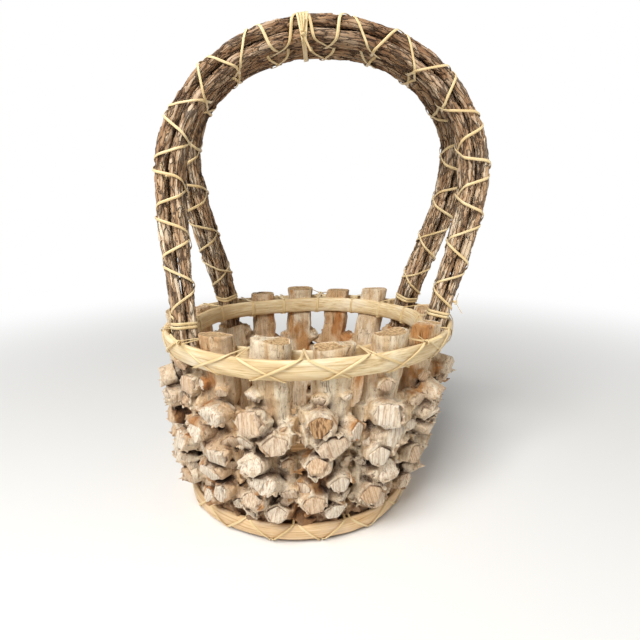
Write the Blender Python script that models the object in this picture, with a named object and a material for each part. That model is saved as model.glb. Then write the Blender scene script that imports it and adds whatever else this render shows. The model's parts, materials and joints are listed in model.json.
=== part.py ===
"""Rustic foraging basket: knobbly root stakes gripped by split-cane hoops, and a twin-arch handle of bundled vine rods.

Metres, +Z up. The origin is the middle of the base board's underside, X runs along the handle's span
and -Y is the front. Every stake, hoop, rod and cane lashing is its own object.
"""

import math
import random

import bmesh
import bpy
from mathutils import Vector

# Basket: the rim, the base and the height between them
RIM_RADIUS = 0.150  # outer face of the outer rim hoop
BASE_RADIUS = 0.1195  # outer face of the outer base hoop
BASKET_HEIGHT = 0.185  # floor to the top edge of the rim hoops
RIM_DEPTH_SHARE = 0.94  # the rim is a little oval: its depth, front to back, as a share of its width
RIM_SHIFT = 0.0115  # the rim's middle stands this far to the right of the base's
SEAT_GAP = 0.0003  # between pieces that rest on each other

# Hoops: split cane, flat on the face that grips the stakes and bowed on the other
HOOP_THICKNESS = 0.0055
RIM_HOOP_HEIGHT = 0.018
BASE_HOOP_HEIGHT = 0.017
OUTER_HOOP_LIFT = 0.0026  # the outer base hoop clears the floor so that its lashing can pass under it
INNER_HOOP_LIFT = 0.0062  # and the inner one clears the board
HOOP_EDGE_SHARE = 0.55  # thickness left at the top and bottom edges
HOOP_ROUNDING_SHARE = 0.22  # height over which each edge rounds off
HOOP_STEPS = 40

# Base board
BOARD_THICKNESS = 0.009
BOARD_STEPS = 40

# Ring: azimuths in degrees, from +X towards +Y, of the handle's legs and of the full-height stakes
RING = (
    (30.0, "leg"),
    (52.0, "stake"),
    (74.0, "stake"),
    (96.0, "stake"),
    (118.0, "stake"),
    (140.0, "leg"),
    (164.7, "stake"),
    (189.3, "stake"),
    (214.0, "leg"),
    (236.0, "stake"),
    (258.4, "stake"),
    (280.8, "stake"),
    (303.2, "stake"),
    (325.6, "stake"),
    (348.0, "leg"),
    (369.0, "stake"),
)

# Stakes: split root stems, flat inside and rounded outside, with uneven sawn tops
STAKE_THICKNESS = 0.0215
STAKE_SPACING_RIM = 0.0130  # open gap between the closest neighbours, at the rim
STAKE_SPACING_FOOT = 0.0055  # and at the floor
STAKE_RISE = 0.0125  # how far an average stake stands above the rim hoops
TOP_SLANT = 0.0016
RISE_SHARES = (1.15, 0.75, 0.95, 0.6, 0.45, 1.2, 0.95, 1.0, 0.62, 1.05, 0.95, 0.5)
WIDTH_SHARES = (0.95, 0.9, 0.96, 0.88, 0.93, 0.97, 0.94, 1.0, 1.0, 0.95, 0.92, 0.94)
SLANT_SHARES = (1.0, -0.6, 0.4, -1.0, 0.7, -0.3, 0.9, -0.8, 0.2, -0.5, 0.6, -0.9)
SECTION_SHARES = (  # across and outward, of the width and the thickness
    (-0.42, -0.5),
    (0.42, -0.5),
    (0.5, 0.05),
    (0.35, 0.36),
    (0.12, 0.5),
    (-0.12, 0.5),
    (-0.35, 0.36),
    (-0.5, 0.05),
)

# Stubs: the knobs left where side roots were sawn off
STUB_PITCH = 0.0172  # least height of a row
STUB_CLEARANCE = 0.0035  # from the base hoop up to the lowest row
STUB_FREE_LENGTH = 0.028  # bare stem between the highest row and the rim hoops
STUB_NECK = 0.005
STUB_HEAD = 0.0105
STUB_LEAN = 0.0028  # how far a head leans to the side of its own root
STUB_HEAD_WIDTH = 0.0238
STUB_HEAD_HEIGHT = 0.0184
STUB_NECK_SHARE = 0.8  # of the head's height
STUB_WIDEST_SHARE = 0.45  # of the head's length
STUB_TIP_SHARE = 0.8
STUB_CORNER_SHARE = 0.42
STUB_DROOP_SHARE = 0.12
KNOB_ROUGH_SHARE = 0.86  # smallest reach of a knob's uneven corners
SAW_SLANT_SHARE = 0.18

# Handle: two arches, each a bundle of four rods, spread at the feet and tied together at the crown
LEG_DEPTH = 0.0245  # how far the rods reach down between the stakes, from the rim's top edge
FRONT_BELLY_RISE = 0.141  # widest place of the front arch, above the rim
BACK_BELLY_RISE = 0.160
CROWN_RISE = 0.267  # middle of the bundles at the crown, above the rim
CROWN_SHIFT = 0.015  # the crown's middle stands this far to the right of the rim's
BELLY_OUTSETS = {  # widest place of each side beyond the stake ring's radius
    "front_right": 0.0118,
    "front_left": 0.0038,
    "back_right": 0.0072,
    "back_left": 0.0078,
}
LEG_STEPS = 6
CROWN_STEPS = 12
DEPTH_POWER = 1.2  # above 1 the two arches close up early and run side by side to the crown

# Rods
ROD_RADIUS = 0.0063
ROD_GAP = 0.0004
ROD_SIDES = 6
ROD_WAIST_SHARE = 0.9  # thinnest place of a rod
CROWN_SHARE = 0.88  # size of a bundle at the crown
FOOT_BLEND = 0.12  # length over which a bundle, squeezed at the rim, opens to its full size

# Cane lashing
CANE_WIDTH = 0.0023
CANE_THICKNESS = 0.0009
CANE_GAP = 0.0005
LAYER_GAP = 0.0008  # between canes that cross
WRAP_PITCH = 0.046
WRAP_STRAY = 0.005  # how far a wrap wanders from an even pitch
TIE_PITCH = 0.0032
FOOT_TIE_RISE = 0.0055  # from the rim up to a foot tie
FOOT_TIE_TURNS = 2
CROWN_TIE_TURNS = 4
CROWN_TIE_SHIFT = 0.0135  # the crown tie sits this far to the left of the crown
TURN_STEPS = 8  # two for each corner of a bundle
LASH_BEND = 7.5  # degrees between the points of a lashing on the outer hoop

COLOURS = {
    "root_wood": (0.62, 0.48, 0.33),
    "split_cane": (0.66, 0.51, 0.31),
    "vine_bark": (0.36, 0.26, 0.18),
    "binding_cane": (0.78, 0.66, 0.40),
    "board_wood": (0.55, 0.42, 0.28),
}
ROUGHNESS = {"root_wood": 0.75, "split_cane": 0.55, "vine_bark": 0.85, "binding_cane": 0.45, "board_wood": 0.8}

UP = Vector((0, 0, 1))
BACKWARD = Vector((0, 1, 0))

vary = random.Random(11)


def ring_at(face_radius):
    """Middle of the stake ring where the outer hoop's outer face has this radius."""
    return face_radius - HOOP_THICKNESS - SEAT_GAP - STAKE_THICKNESS / 2


def ring_radius(z):
    """Middle of the leaning stake ring at a height."""
    return ring_at(BASE_RADIUS) + (ring_at(RIM_RADIUS) - ring_at(BASE_RADIUS)) * z / BASKET_HEIGHT


def radial(azimuth):
    return Vector((math.cos(azimuth), math.sin(azimuth), 0))


def tangential(azimuth):
    return Vector((-math.sin(azimuth), math.cos(azimuth), 0))


def wall_point(azimuth, across, outward, z):
    """A point of the leaning wall: across along the ring, outward from the middle of the stakes."""
    middle = Vector((RIM_SHIFT * z / BASKET_HEIGHT, 0, z))
    place = middle + radial(azimuth) * (ring_radius(z) + outward) + tangential(azimuth) * across
    place.y *= 1 - (1 - RIM_DEPTH_SHARE) * z / BASKET_HEIGHT
    return place


def wall_slope(azimuth):
    """Direction up the wall, for one unit of height."""
    return (wall_point(azimuth, 0, 0, BASKET_HEIGHT) - wall_point(azimuth, 0, 0, 0)) / BASKET_HEIGHT


def make_material(name):
    made = bpy.data.materials.new(name)
    made.use_nodes = True
    shader = made.node_tree.nodes["Principled BSDF"]
    shader.inputs["Base Color"].default_value = (*COLOURS[name], 1)
    shader.inputs["Roughness"].default_value = ROUGHNESS[name]
    shader.inputs["Metallic"].default_value = 0
    made.diffuse_color = (*COLOURS[name], 1)


def add_object(name, bm, material, sharp_from=None):
    """Turns a bmesh into a named object, shaded smooth up to the given angle between its faces."""
    bmesh.ops.recalc_face_normals(bm, faces=bm.faces)
    mesh = bpy.data.meshes.new(name)
    bm.to_mesh(mesh)
    bm.free()
    if sharp_from:
        mesh.shade_smooth()
        mesh.set_sharp_from_angle(angle=math.radians(sharp_from))
    mesh.materials.append(bpy.data.materials[material])
    bpy.context.scene.collection.objects.link(bpy.data.objects.new(name, mesh))


def loft(bm, rings, closed=False):
    """Skins successive rings of points. A closed loft joins its last ring to its first, an open one gets end caps."""
    rows = [[bm.verts.new(point) for point in ring] for ring in rings]
    pairs = list(zip(rows, rows[1:]))
    if closed:
        pairs.append((rows[-1], rows[0]))
    else:
        bm.faces.new(rows[0])
        bm.faces.new(rows[-1])
    for low, high in pairs:
        for i in range(len(low)):
            j = (i + 1) % len(low)
            bm.faces.new((low[i], low[j], high[j], high[i]))
    return rows


def smoothstep(share):
    share = min(1, max(0, share))
    return share * share * (3 - 2 * share)


def half_ring():
    """From the middle of the stakes to the face of a hoop that grips them."""
    return STAKE_THICKNESS / 2 + SEAT_GAP


def facet_slack(radius, steps):
    """How far a ring's flat facets dip below its own radius."""
    return radius * (1 - math.cos(math.pi / steps))


def make_hoop(name, low, high, flat, bowed):
    """A split-cane ring that follows the wall. flat and bowed are its two faces, outward from the stake ring."""
    edge = flat + (bowed - flat) * HOOP_EDGE_SHARE
    rounding = (high - low) * HOOP_ROUNDING_SHARE
    profile = (
        (flat, low),
        (edge, low),
        (bowed, low + rounding),
        (bowed, high - rounding),
        (edge, high),
        (flat, high),
    )
    rings = []
    for step in range(HOOP_STEPS):
        azimuth = math.tau * step / HOOP_STEPS
        rings.append([wall_point(azimuth, 0, outward, z) for outward, z in profile])
    bm = bmesh.new()
    loft(bm, rings, closed=True)
    add_object(name, bm, "split_cane", sharp_from=40)


def rim_span():
    return BASKET_HEIGHT - RIM_HOOP_HEIGHT, BASKET_HEIGHT


def outer_base_span():
    return OUTER_HOOP_LIFT, OUTER_HOOP_LIFT + BASE_HOOP_HEIGHT


def inner_base_span():
    low = BOARD_THICKNESS + INNER_HOOP_LIFT
    return low, low + BASE_HOOP_HEIGHT


def make_hoops():
    grip = half_ring()
    back = grip + HOOP_THICKNESS
    slack = facet_slack(RIM_RADIUS, HOOP_STEPS)
    make_hoop("rim_outer_hoop", *rim_span(), grip + slack, back)
    make_hoop("rim_inner_hoop", *rim_span(), -grip, -back)
    make_hoop("base_outer_hoop", *outer_base_span(), grip + slack, back)
    make_hoop("base_inner_hoop", *inner_base_span(), -grip, -back)


def make_board():
    """The disc inside the stakes' feet. Its edge follows the wall, so that it can't drop through."""
    rings = []
    for z in (0, BOARD_THICKNESS):
        azimuths = [math.tau * step / BOARD_STEPS for step in range(BOARD_STEPS)]
        rings.append([wall_point(azimuth, 0, -half_ring(), z) for azimuth in azimuths])
    bm = bmesh.new()
    loft(bm, rings)
    add_object("base_board", bm, "board_wood", sharp_from=40)


def least_pitch():
    """Smallest angle between neighbours in the ring."""
    azimuths = [azimuth for azimuth, kind in RING]
    return math.radians(min((b - a) % 360 for a, b in zip(azimuths, azimuths[1:] + azimuths[:1])))


def stake_width(z):
    """Width of the widest stake, so that the closest neighbours keep their spacing."""
    foot = least_pitch() * ring_radius(0) - STAKE_SPACING_FOOT
    rim = least_pitch() * ring_radius(BASKET_HEIGHT) - STAKE_SPACING_RIM
    return foot + (rim - foot) * z / BASKET_HEIGHT


def pull_stub(bm, face, azimuth, side):
    """Grows a stub on one face of a stake: a narrow neck, an eight-sided swollen head and a sawn tip."""
    out, along = radial(azimuth), tangential(azimuth)
    size = vary.uniform(0.88, 1)
    lean = along * (side * STUB_LEAN) - UP * (STUB_HEAD * STUB_DROOP_SHARE * vary.uniform(-1, 1))
    saw = vary.uniform(-1, 1) * SAW_SLANT_SHARE
    start = face.calc_center_median()
    root = list(face.verts)
    signs = [(math.copysign(1, (v.co - start).dot(along)), math.copysign(1, v.co.z - start.z)) for v in root]
    wide, high = STUB_HEAD_WIDTH * size / 2, STUB_HEAD_HEIGHT * size / 2
    neck_wide = max(abs((v.co - start).dot(along)) for v in root) * STUB_NECK_SHARE
    bm.faces.remove(face)

    def place(depth, shift, across, up):
        return bm.verts.new(start + out * (depth + across * saw) + lean * shift + along * across + UP * up)

    def knob(depth, share):
        ring = []
        for i, (sx, sz) in enumerate(signs):
            pair = [(sx * wide, sz * high * STUB_CORNER_SHARE), (sx * wide * STUB_CORNER_SHARE, sz * high)]
            if signs[i - 1][0] != sx:
                pair.reverse()
            rough = vary.uniform(KNOB_ROUGH_SHARE, 1) * share
            ring += [place(depth, 1, across * rough, up * rough) for across, up in pair]
        return ring

    neck = [place(STUB_NECK, 0.5, sx * neck_wide, sz * high * STUB_NECK_SHARE) for sx, sz in signs]
    head = knob(STUB_NECK + STUB_HEAD * STUB_WIDEST_SHARE, 1)
    tip = knob(STUB_NECK + STUB_HEAD, STUB_TIP_SHARE)
    for i in range(4):
        j = (i + 1) % 4
        bm.faces.new((root[i], root[j], neck[j], neck[i]))
        bm.faces.new((neck[i], neck[j], head[2 * j], head[2 * i + 1]))
        bm.faces.new((neck[i], head[2 * i + 1], head[2 * i]))
    for i in range(8):
        j = (i + 1) % 8
        bm.faces.new((head[i], head[j], tip[j], tip[i]))
    bm.faces.new(tip)


def make_stake(name, azimuth, width_share, top, slant, levels, free_top):
    """A leaning half-round stem with one stub pulled out of each row of its outer face."""
    low = outer_base_span()[1] + STUB_CLEARANCE
    rows = int((free_top - low) / STUB_PITCH)
    row_levels = [low + (free_top - low) * i / rows for i in range(rows + 1)]
    rings = []
    for z in [0, *row_levels, *levels, top]:
        wide = stake_width(z) * width_share
        if low < z < free_top:
            wide *= vary.uniform(0.93, 1)
        tilt = slant if z == top else 0
        rings.append([wall_point(azimuth, u * wide, v * STAKE_THICKNESS, z + tilt * u) for u, v in SECTION_SHARES])
    bm = bmesh.new()
    rows_of = loft(bm, rings)
    shift = vary.randrange(2)
    chosen = []
    for row in range(rows):
        edge, side = ((3, 1), (5, -1))[(row + shift) % 2]
        if vary.random() < 0.2:
            edge, side = 4, 0
        below, above = rows_of[row + 1], rows_of[row + 2]
        corners = {below[edge], below[edge + 1], above[edge], above[edge + 1]}
        chosen.append((next(f for f in below[edge].link_faces if set(f.verts) == corners), side))
    for face, side in chosen:
        pull_stub(bm, face, azimuth, side)
    add_object(name, bm, "root_wood", sharp_from=40)


def make_stakes():
    number, shorts = 0, 0
    rim_low, rim_top = rim_span()
    leg_foot = BASKET_HEIGHT - LEG_DEPTH
    for degrees, kind in RING:
        azimuth = math.radians(degrees)
        if kind == "leg":
            shorts += 1
            top = leg_foot - SEAT_GAP
            make_stake(f"short_stake_{shorts}", azimuth, 1, top, 0, [], top - STUB_NECK)
            continue
        top = rim_top + STAKE_RISE * RISE_SHARES[number % len(RISE_SHARES)]
        width = WIDTH_SHARES[number % len(WIDTH_SHARES)]
        slant = TOP_SLANT * SLANT_SHARES[number % len(SLANT_SHARES)]
        number += 1
        make_stake(f"stake_{number:02d}", azimuth, width, top, slant, [rim_low, rim_top], rim_low - STUB_FREE_LENGTH)


def bundle_reach():
    """From a bundle's middle to its rods' centres, along either side of their square."""
    return ROD_RADIUS + ROD_GAP / 2


def foot_share():
    """How much a bundle is squeezed to pass between the rim hoops."""
    lean = math.atan((RIM_RADIUS - BASE_RADIUS + abs(RIM_SHIFT)) / BASKET_HEIGHT)
    return min(1, STAKE_THICKNESS / 2 * math.cos(lean) / (bundle_reach() + ROD_RADIUS))


def wrap_lifts():
    """Middles of the two layers of cane, above what they are wound on."""
    under = CANE_GAP + CANE_THICKNESS / 2
    return under, under + CANE_THICKNESS + LAYER_GAP


def crown_depth():
    """From the basket's middle plane to the middle of each bundle at the crown, with room for the wraps of both."""
    return bundle_reach() + ROD_RADIUS + wrap_lifts()[1] + CANE_THICKNESS / 2 + CANE_GAP / 2


def leg_azimuths():
    return [math.radians(degrees) for degrees, kind in RING if kind == "leg"]


def arch_half(leg, side):
    """Points from a leg's foot up to the crown. side is 1 for the back arch and -1 for the front one."""
    right = math.copysign(1, math.cos(leg))
    rim = wall_point(leg, 0, 0, BASKET_HEIGHT)
    points = [wall_point(leg, 0, 0, BASKET_HEIGHT - LEG_DEPTH * share) for share in (1, 0.5)] + [rim]
    outset = BELLY_OUTSETS[("back" if side > 0 else "front") + ("_right" if right > 0 else "_left")]
    belly_rise = BACK_BELLY_RISE if side > 0 else FRONT_BELLY_RISE
    middle = RIM_SHIFT + CROWN_SHIFT
    belly = right * (ring_radius(BASKET_HEIGHT) + outset)
    depth = side * crown_depth()
    slope = wall_slope(leg).x * belly_rise
    places = []
    for i in range(1, LEG_STEPS + 1):
        t = i / LEG_STEPS
        bend = (middle + belly - rim.x) * (3 * t * t - 2 * t**3) + slope * (t - 2 * t * t + t**3)
        places.append((rim.x + bend, belly_rise * t))
    for i in range(1, CROWN_STEPS + 1):
        angle = math.pi / 2 * i / CROWN_STEPS
        rise = belly_rise + (CROWN_RISE - belly_rise) * math.sin(angle)
        places.append((middle + belly * math.cos(angle), rise))
    for x, rise in places:
        y = depth + (rim.y - depth) * (1 - rise / CROWN_RISE) ** DEPTH_POWER
        points.append(Vector((x, y, BASKET_HEIGHT + rise)))
    return points


def arch_frames(side):
    """Frames along one arch, from its right foot over the crown to its left foot.

    Each is the bundle's middle, its direction, outward from the arch, backward through it, and its size share.
    """
    back_right, back_left, front_left, front_right = leg_azimuths()
    right, left = (back_right, back_left) if side > 0 else (front_right, front_left)
    points = arch_half(right, side) + arch_half(left, side)[-2::-1]
    frames = []
    for i, point in enumerate(points):
        tangent = (points[min(i + 1, len(points) - 1)] - points[max(i - 1, 0)]).normalized()
        foot = tangential(right if i < len(points) / 2 else left)
        foot *= math.copysign(1, foot.y)
        opened = smoothstep((point.z - BASKET_HEIGHT) / FOOT_BLEND)
        backward = foot.lerp(BACKWARD, opened)
        outward = backward.cross(tangent).normalized()
        backward = tangent.cross(outward)
        thinned = smoothstep((point.z - BASKET_HEIGHT - FRONT_BELLY_RISE) / (CROWN_RISE - FRONT_BELLY_RISE))
        share = foot_share() + (1 - foot_share()) * opened - (1 - CROWN_SHARE) * thinned
        frames.append((point, tangent, outward, backward, share))
    return frames


def make_rod(name, frames, across, deep, phase):
    """One rod of a bundle, swelling and thinning along its length, sawn level at both feet."""
    rings = []
    for i, (point, tangent, outward, backward, share) in enumerate(frames):
        middle = point + (outward * across + backward * deep) * (bundle_reach() * share)
        swell = 0.5 + 0.5 * math.sin(phase + 1.7 * i)
        thick = ROD_RADIUS * share * (ROD_WAIST_SHARE + (1 - ROD_WAIST_SHARE) * swell)
        turns = [math.tau * k / ROD_SIDES + phase for k in range(ROD_SIDES)]
        ring = [middle + (outward * math.cos(turn) + backward * math.sin(turn)) * thick for turn in turns]
        if i in (0, len(frames) - 1):
            ring = [p + tangent * ((point.z - p.z) / tangent.z) for p in ring]
        rings.append(ring)
    bm = bmesh.new()
    loft(bm, rings)
    add_object(name, bm, "vine_bark", sharp_from=65)


def make_rods():
    corners = ((-1, -1), (1, -1), (1, 1), (-1, 1))
    for label, side in (("front", -1), ("back", 1)):
        frames = arch_frames(side)
        for k, (across, deep) in enumerate(corners):
            make_rod(f"{label}_arch_rod_{k + 1}", frames, across, deep, phase=2.1 * k + side)


def run_length(frames):
    return sum((b[0] - a[0]).length for a, b in zip(frames, frames[1:]))


def run_to_height(frames, height):
    """Length along the arch at which it first passes a height."""
    run = 0
    for a, b in zip(frames, frames[1:]):
        if b[0].z > height:
            return run + (b[0] - a[0]).length * (height - a[0].z) / (b[0].z - a[0].z)
        run += (b[0] - a[0]).length
    return run


def frame_along(frames, run):
    """The frame at a length along the arch, between two of its frames."""
    for a, b in zip(frames, frames[1:]):
        length = (b[0] - a[0]).length
        if run <= length:
            break
        run -= length
    t = run / length
    point, tangent, outward, backward = [a[i].lerp(b[i], t) for i in range(4)]
    return point, tangent.normalized(), outward.normalized(), backward.normalized(), a[4] + (b[4] - a[4]) * t


def gap_to_itself(middles):
    """Least distance between two parts of one cane that aren't neighbours along it, less its width."""
    lengths = [0]
    for a, b in zip(middles, middles[1:]):
        lengths.append(lengths[-1] + (b - a).length)
    least = lengths[-1]
    for i, a in enumerate(middles):
        for j in range(i + 1, len(middles)):
            apart = min(lengths[j] - lengths[i], lengths[-1] - lengths[j] + lengths[i])
            if apart > 4 * CANE_WIDTH:
                least = min(least, (middles[j] - a).length)
    return least - CANE_WIDTH


def sweep_cane(name, stations, closed=False):
    """Skins the flat cane through its stations: the middle, half its width, and half its thickness, as vectors."""
    print(f"{name}: least gap to itself {gap_to_itself([s[0] for s in stations]) * 1000:.2f} mm")
    rings = [[p + side + out, p - side + out, p - side - out, p + side - out] for p, side, out in stations]
    bm = bmesh.new()
    loft(bm, rings, closed)
    add_object(name, bm, "binding_cane")


def wind(name, frames, start, length, turns, hand, lift, both=False, stray=0):
    """Winds cane round a bundle, or round both where they meet, folding it twice at each corner of the square."""
    per_corner = math.tau / TURN_STEPS
    corner_length = 2 * math.tan(per_corner / 2) * (ROD_RADIUS + lift)
    corner_share = corner_length / (2 * corner_length + 2 * bundle_reach())
    around = 4 * (2 * corner_length + 2 * bundle_reach())
    slant = math.atan(length / (turns * around))
    stations = []
    for i in range(turns * TURN_STEPS + 1):
        corner, second = divmod(i, 2)
        along = (corner + second * corner_share) / (turns * TURN_STEPS / 2)
        run = start + length * along + stray * math.sin(math.pi * along) * math.sin(1.9 * corner + hand)
        point, tangent, outward, backward, share = frame_along(frames, run)
        angle = hand * (math.pi / 2 * corner + per_corner * (second + 0.5))
        across = bundle_reach() * share * math.copysign(1, math.cos(angle))
        deep = bundle_reach() * share * math.copysign(1, math.sin(angle))
        if both:
            point = Vector((point.x, 0, point.z))
            backward = BACKWARD
            deep += math.copysign(crown_depth(), deep)
        out = outward * math.cos(angle) + backward * math.sin(angle)
        mitre = math.cos(per_corner / 2)
        point = point + outward * across + backward * deep + out * ((ROD_RADIUS * share + lift) / mitre)
        side = tangent * (CANE_WIDTH / 2 / math.cos(slant))
        stations.append((point, side, out * (CANE_THICKNESS / 2 / mitre)))
    sweep_cane(name, stations)


def make_windings():
    """Foot ties, the crossing wraps of both arches, and the tie that holds the arches together at the crown."""
    under, over = wrap_lifts()
    tie_low = BASKET_HEIGHT + FOOT_TIE_RISE
    tie_length = TIE_PITCH * FOOT_TIE_TURNS
    for label, side in (("front", -1), ("back", 1)):
        there = arch_frames(side)
        back_again = there[::-1]
        for hand, frames in (("right", there), ("left", back_again)):
            start = run_to_height(frames, tie_low)
            wind(f"{label}_{hand}_foot_tie", frames, start, tie_length, FOOT_TIE_TURNS, 1, under)
        first = run_to_height(there, tie_low) + tie_length + CANE_WIDTH * 2
        last = run_length(there) - run_to_height(back_again, tie_low) - tie_length - CANE_WIDTH * 2
        turns = round((last - first) / WRAP_PITCH)
        wind(f"{label}_arch_wrap_under", there, first, last - first, turns, 1, under, stray=WRAP_STRAY)
        wind(f"{label}_arch_wrap_over", there, first, last - first, turns, -1, over, stray=WRAP_STRAY)
    front = arch_frames(-1)
    length = TIE_PITCH * CROWN_TIE_TURNS
    crown = max(range(len(front)), key=lambda i: front[i][0].z)
    start = run_length(front[: crown + 1]) + CROWN_TIE_SHIFT - length / 2
    wind("crown_tie", front, start, length, CROWN_TIE_TURNS, 1, over + CANE_THICKNESS + CANE_GAP, both=True)


def lash_azimuths(height):
    """Middle of the open gap after each place in the ring, allowing for its neighbours' widths."""
    leg = (bundle_reach() + ROD_RADIUS) * foot_share()
    half = {"leg": leg if height > BASKET_HEIGHT - LEG_DEPTH else stake_width(height) / 2}
    half["stake"] = stake_width(height) / 2
    found = []
    for (here, kind), (there, next_kind) in zip(RING, RING[1:] + RING[:1]):
        span = math.radians((there - here) % 360)
        found.append(math.radians(here) + span / 2 + (half[kind] - half[next_kind]) / (2 * ring_radius(height)))
    return found


def lash(name, hand, lift, crossing, outer_span, inner_span):
    """Winds cane round an outer and an inner hoop: slanting across the outer, then between two stakes to the inner.

    crossing is how far beside the middle of a gap it passes, so that two lashings of opposite hands can cross.
    """
    out_low, out_high = outer_span
    in_low, in_high = inner_span
    face = half_ring() + HOOP_THICKNESS + lift
    free = half_ring() - lift * 2
    gaps = lash_azimuths(out_high)[::hand]
    shift = hand * crossing / ring_radius(out_high)
    thick = CANE_THICKNESS / 2
    stations = []
    for gap, ahead in zip(gaps, gaps[1:] + gaps[:1]):
        leave, arrive = gap + shift, ahead - shift
        span = (arrive - leave) % (hand * math.tau)
        low, high = out_low - lift, out_high + lift
        slant = math.atan2(high - low, abs(span) * (ring_radius(high) + face))
        fold = -hand * CANE_WIDTH / 2
        stations.append((wall_point(leave, 0, face, low), tangential(leave) * fold, (radial(leave) - UP) * thick))
        steps = math.ceil(math.degrees(abs(span)) / LASH_BEND)
        for step in range(1, steps):
            share = step / steps
            azimuth = leave + span * share
            slope = wall_slope(azimuth).normalized()
            out = tangential(azimuth).cross(slope).normalized()
            point = wall_point(azimuth, 0, face, low + (high - low) * share)
            stations.append((point, slope * (CANE_WIDTH / 2 / math.cos(slant)), out * thick))
        stations.append((wall_point(arrive, 0, face, high), tangential(arrive) * fold, (radial(arrive) + UP) * thick))
        after = ahead + shift
        if in_high > out_high:
            stations.append((wall_point(arrive, 0, -free, in_high + lift), tangential(arrive) * fold, UP * thick))
        inside = wall_point(arrive, 0, -face, in_high + lift)
        stations.append((inside, tangential(arrive) * fold, (UP - radial(arrive)) * thick))
        inside = wall_point(after, 0, -face, in_low - lift)
        stations.append((inside, tangential(after) * fold, (-UP - radial(after)) * thick))
        if in_low > out_low:
            stations.append((wall_point(after, 0, free, low), tangential(after) * fold, -UP * thick))
    sweep_cane(name, stations, closed=True)


def make_lashings():
    under, over = wrap_lifts()
    beside = CANE_WIDTH / 2 + CANE_GAP
    lash("rim_lashing_under", 1, under, beside, rim_span(), rim_span())
    lash("rim_lashing_over", -1, over, beside, rim_span(), rim_span())
    lash("base_lashing", 1, under, 0, outer_base_span(), inner_base_span())


def main():
    for old in list(bpy.data.objects):
        bpy.data.objects.remove(old)
    for name in COLOURS:
        make_material(name)
    make_board()
    make_hoops()
    make_stakes()
    make_rods()
    make_windings()
    make_lashings()


main()
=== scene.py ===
# Foraging basket of root stakes, split cane hoops and bark rods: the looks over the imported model.
# Sizes are in metres, as in the model. Colours are sRGB hex.

import json
import math
import random
from contextlib import contextmanager

import bpy
from mathutils import Matrix, Vector
from mathutils.kdtree import KDTree

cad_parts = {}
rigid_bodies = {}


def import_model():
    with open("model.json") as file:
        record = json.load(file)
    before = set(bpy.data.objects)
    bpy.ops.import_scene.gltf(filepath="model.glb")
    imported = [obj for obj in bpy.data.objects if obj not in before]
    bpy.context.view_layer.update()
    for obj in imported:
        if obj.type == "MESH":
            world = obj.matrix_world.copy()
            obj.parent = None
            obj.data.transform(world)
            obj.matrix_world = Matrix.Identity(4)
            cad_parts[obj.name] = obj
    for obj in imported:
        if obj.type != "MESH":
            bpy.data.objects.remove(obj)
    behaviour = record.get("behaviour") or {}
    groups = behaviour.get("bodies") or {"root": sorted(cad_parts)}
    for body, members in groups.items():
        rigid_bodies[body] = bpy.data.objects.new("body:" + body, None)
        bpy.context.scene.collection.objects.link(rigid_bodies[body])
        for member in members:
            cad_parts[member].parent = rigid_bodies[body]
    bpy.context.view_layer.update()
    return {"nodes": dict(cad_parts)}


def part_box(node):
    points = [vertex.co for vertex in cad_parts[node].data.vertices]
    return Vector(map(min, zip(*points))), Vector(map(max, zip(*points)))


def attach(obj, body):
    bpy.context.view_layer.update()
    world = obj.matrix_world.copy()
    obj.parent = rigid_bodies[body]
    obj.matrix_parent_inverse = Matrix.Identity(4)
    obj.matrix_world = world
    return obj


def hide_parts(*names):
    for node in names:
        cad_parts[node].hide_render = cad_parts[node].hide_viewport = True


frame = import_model()
nodes = frame["nodes"]
upward = Vector((0, 0, 1))


def linear(hexColour):
    channels = [int(hexColour[i : i + 2], 16) / 255 for i in (1, 3, 5)]
    return [c / 12.92 if c <= 0.04045 else ((c + 0.055) / 1.055) ** 2.4 for c in channels] + [1]


def selectOnly(*pieces):
    bpy.ops.object.select_all(action="DESELECT")
    for piece in pieces:
        piece.select_set(True)
    bpy.context.view_layer.objects.active = pieces[0]


@contextmanager
def wholeSelected():
    # edit mode, with all of the active piece selected
    bpy.ops.object.mode_set(mode="EDIT")
    bpy.ops.mesh.select_all(action="SELECT")
    yield
    bpy.ops.object.mode_set(mode="OBJECT")


def addPrimitive(operator, **settings):
    # an operator acts on all that is selected, so the rest is deselected first
    bpy.ops.object.select_all(action="DESELECT")
    operator(**settings)
    return bpy.context.object


def applyModifier(piece, kind, **settings):
    selectOnly(piece)
    modifier = piece.modifiers.new(kind.lower(), kind)
    for name, value in settings.items():
        setattr(modifier, name, value)
    bpy.ops.object.modifier_apply(modifier=modifier.name)


def relief(name, kind, grain, **settings):
    texture = bpy.data.textures.new(name, kind)
    texture.noise_scale = grain
    for setting, value in settings.items():
        setattr(texture, setting, value)
    return texture


def mark(mesh, name, values, kind="FLOAT", domain="POINT"):
    # an attribute that a material reads
    field = "value" if kind == "FLOAT" else "vector"
    mesh.attributes.new(name, kind, domain).data.foreach_set(field, values)


def mergedCopy(node, name):
    # a CAD node is loose triangles, so its copy is merged before it is worked on
    piece = bpy.data.objects.new(name, nodes[node].data.copy())
    bpy.context.scene.collection.objects.link(piece)
    piece.data.materials.clear()
    selectOnly(piece)
    with wholeSelected():
        bpy.ops.mesh.remove_doubles(threshold=0.00002)
        bpy.ops.mesh.tris_convert_to_quads()
    return piece


def ownCopy(piece, place):
    twin = piece.copy()
    twin.data = piece.data.copy()
    bpy.context.scene.collection.objects.link(twin)
    twin.matrix_world = place
    return twin


def discard(*pieces):
    for piece in pieces:
        bpy.data.objects.remove(piece)


def finishPiece(piece, material, node=None):
    piece.data.materials.clear()
    piece.data.materials.append(material)
    selectOnly(piece)
    bpy.ops.object.transform_apply(location=True, rotation=True, scale=True)
    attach(piece, "root")
    if node:
        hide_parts(node)


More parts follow.
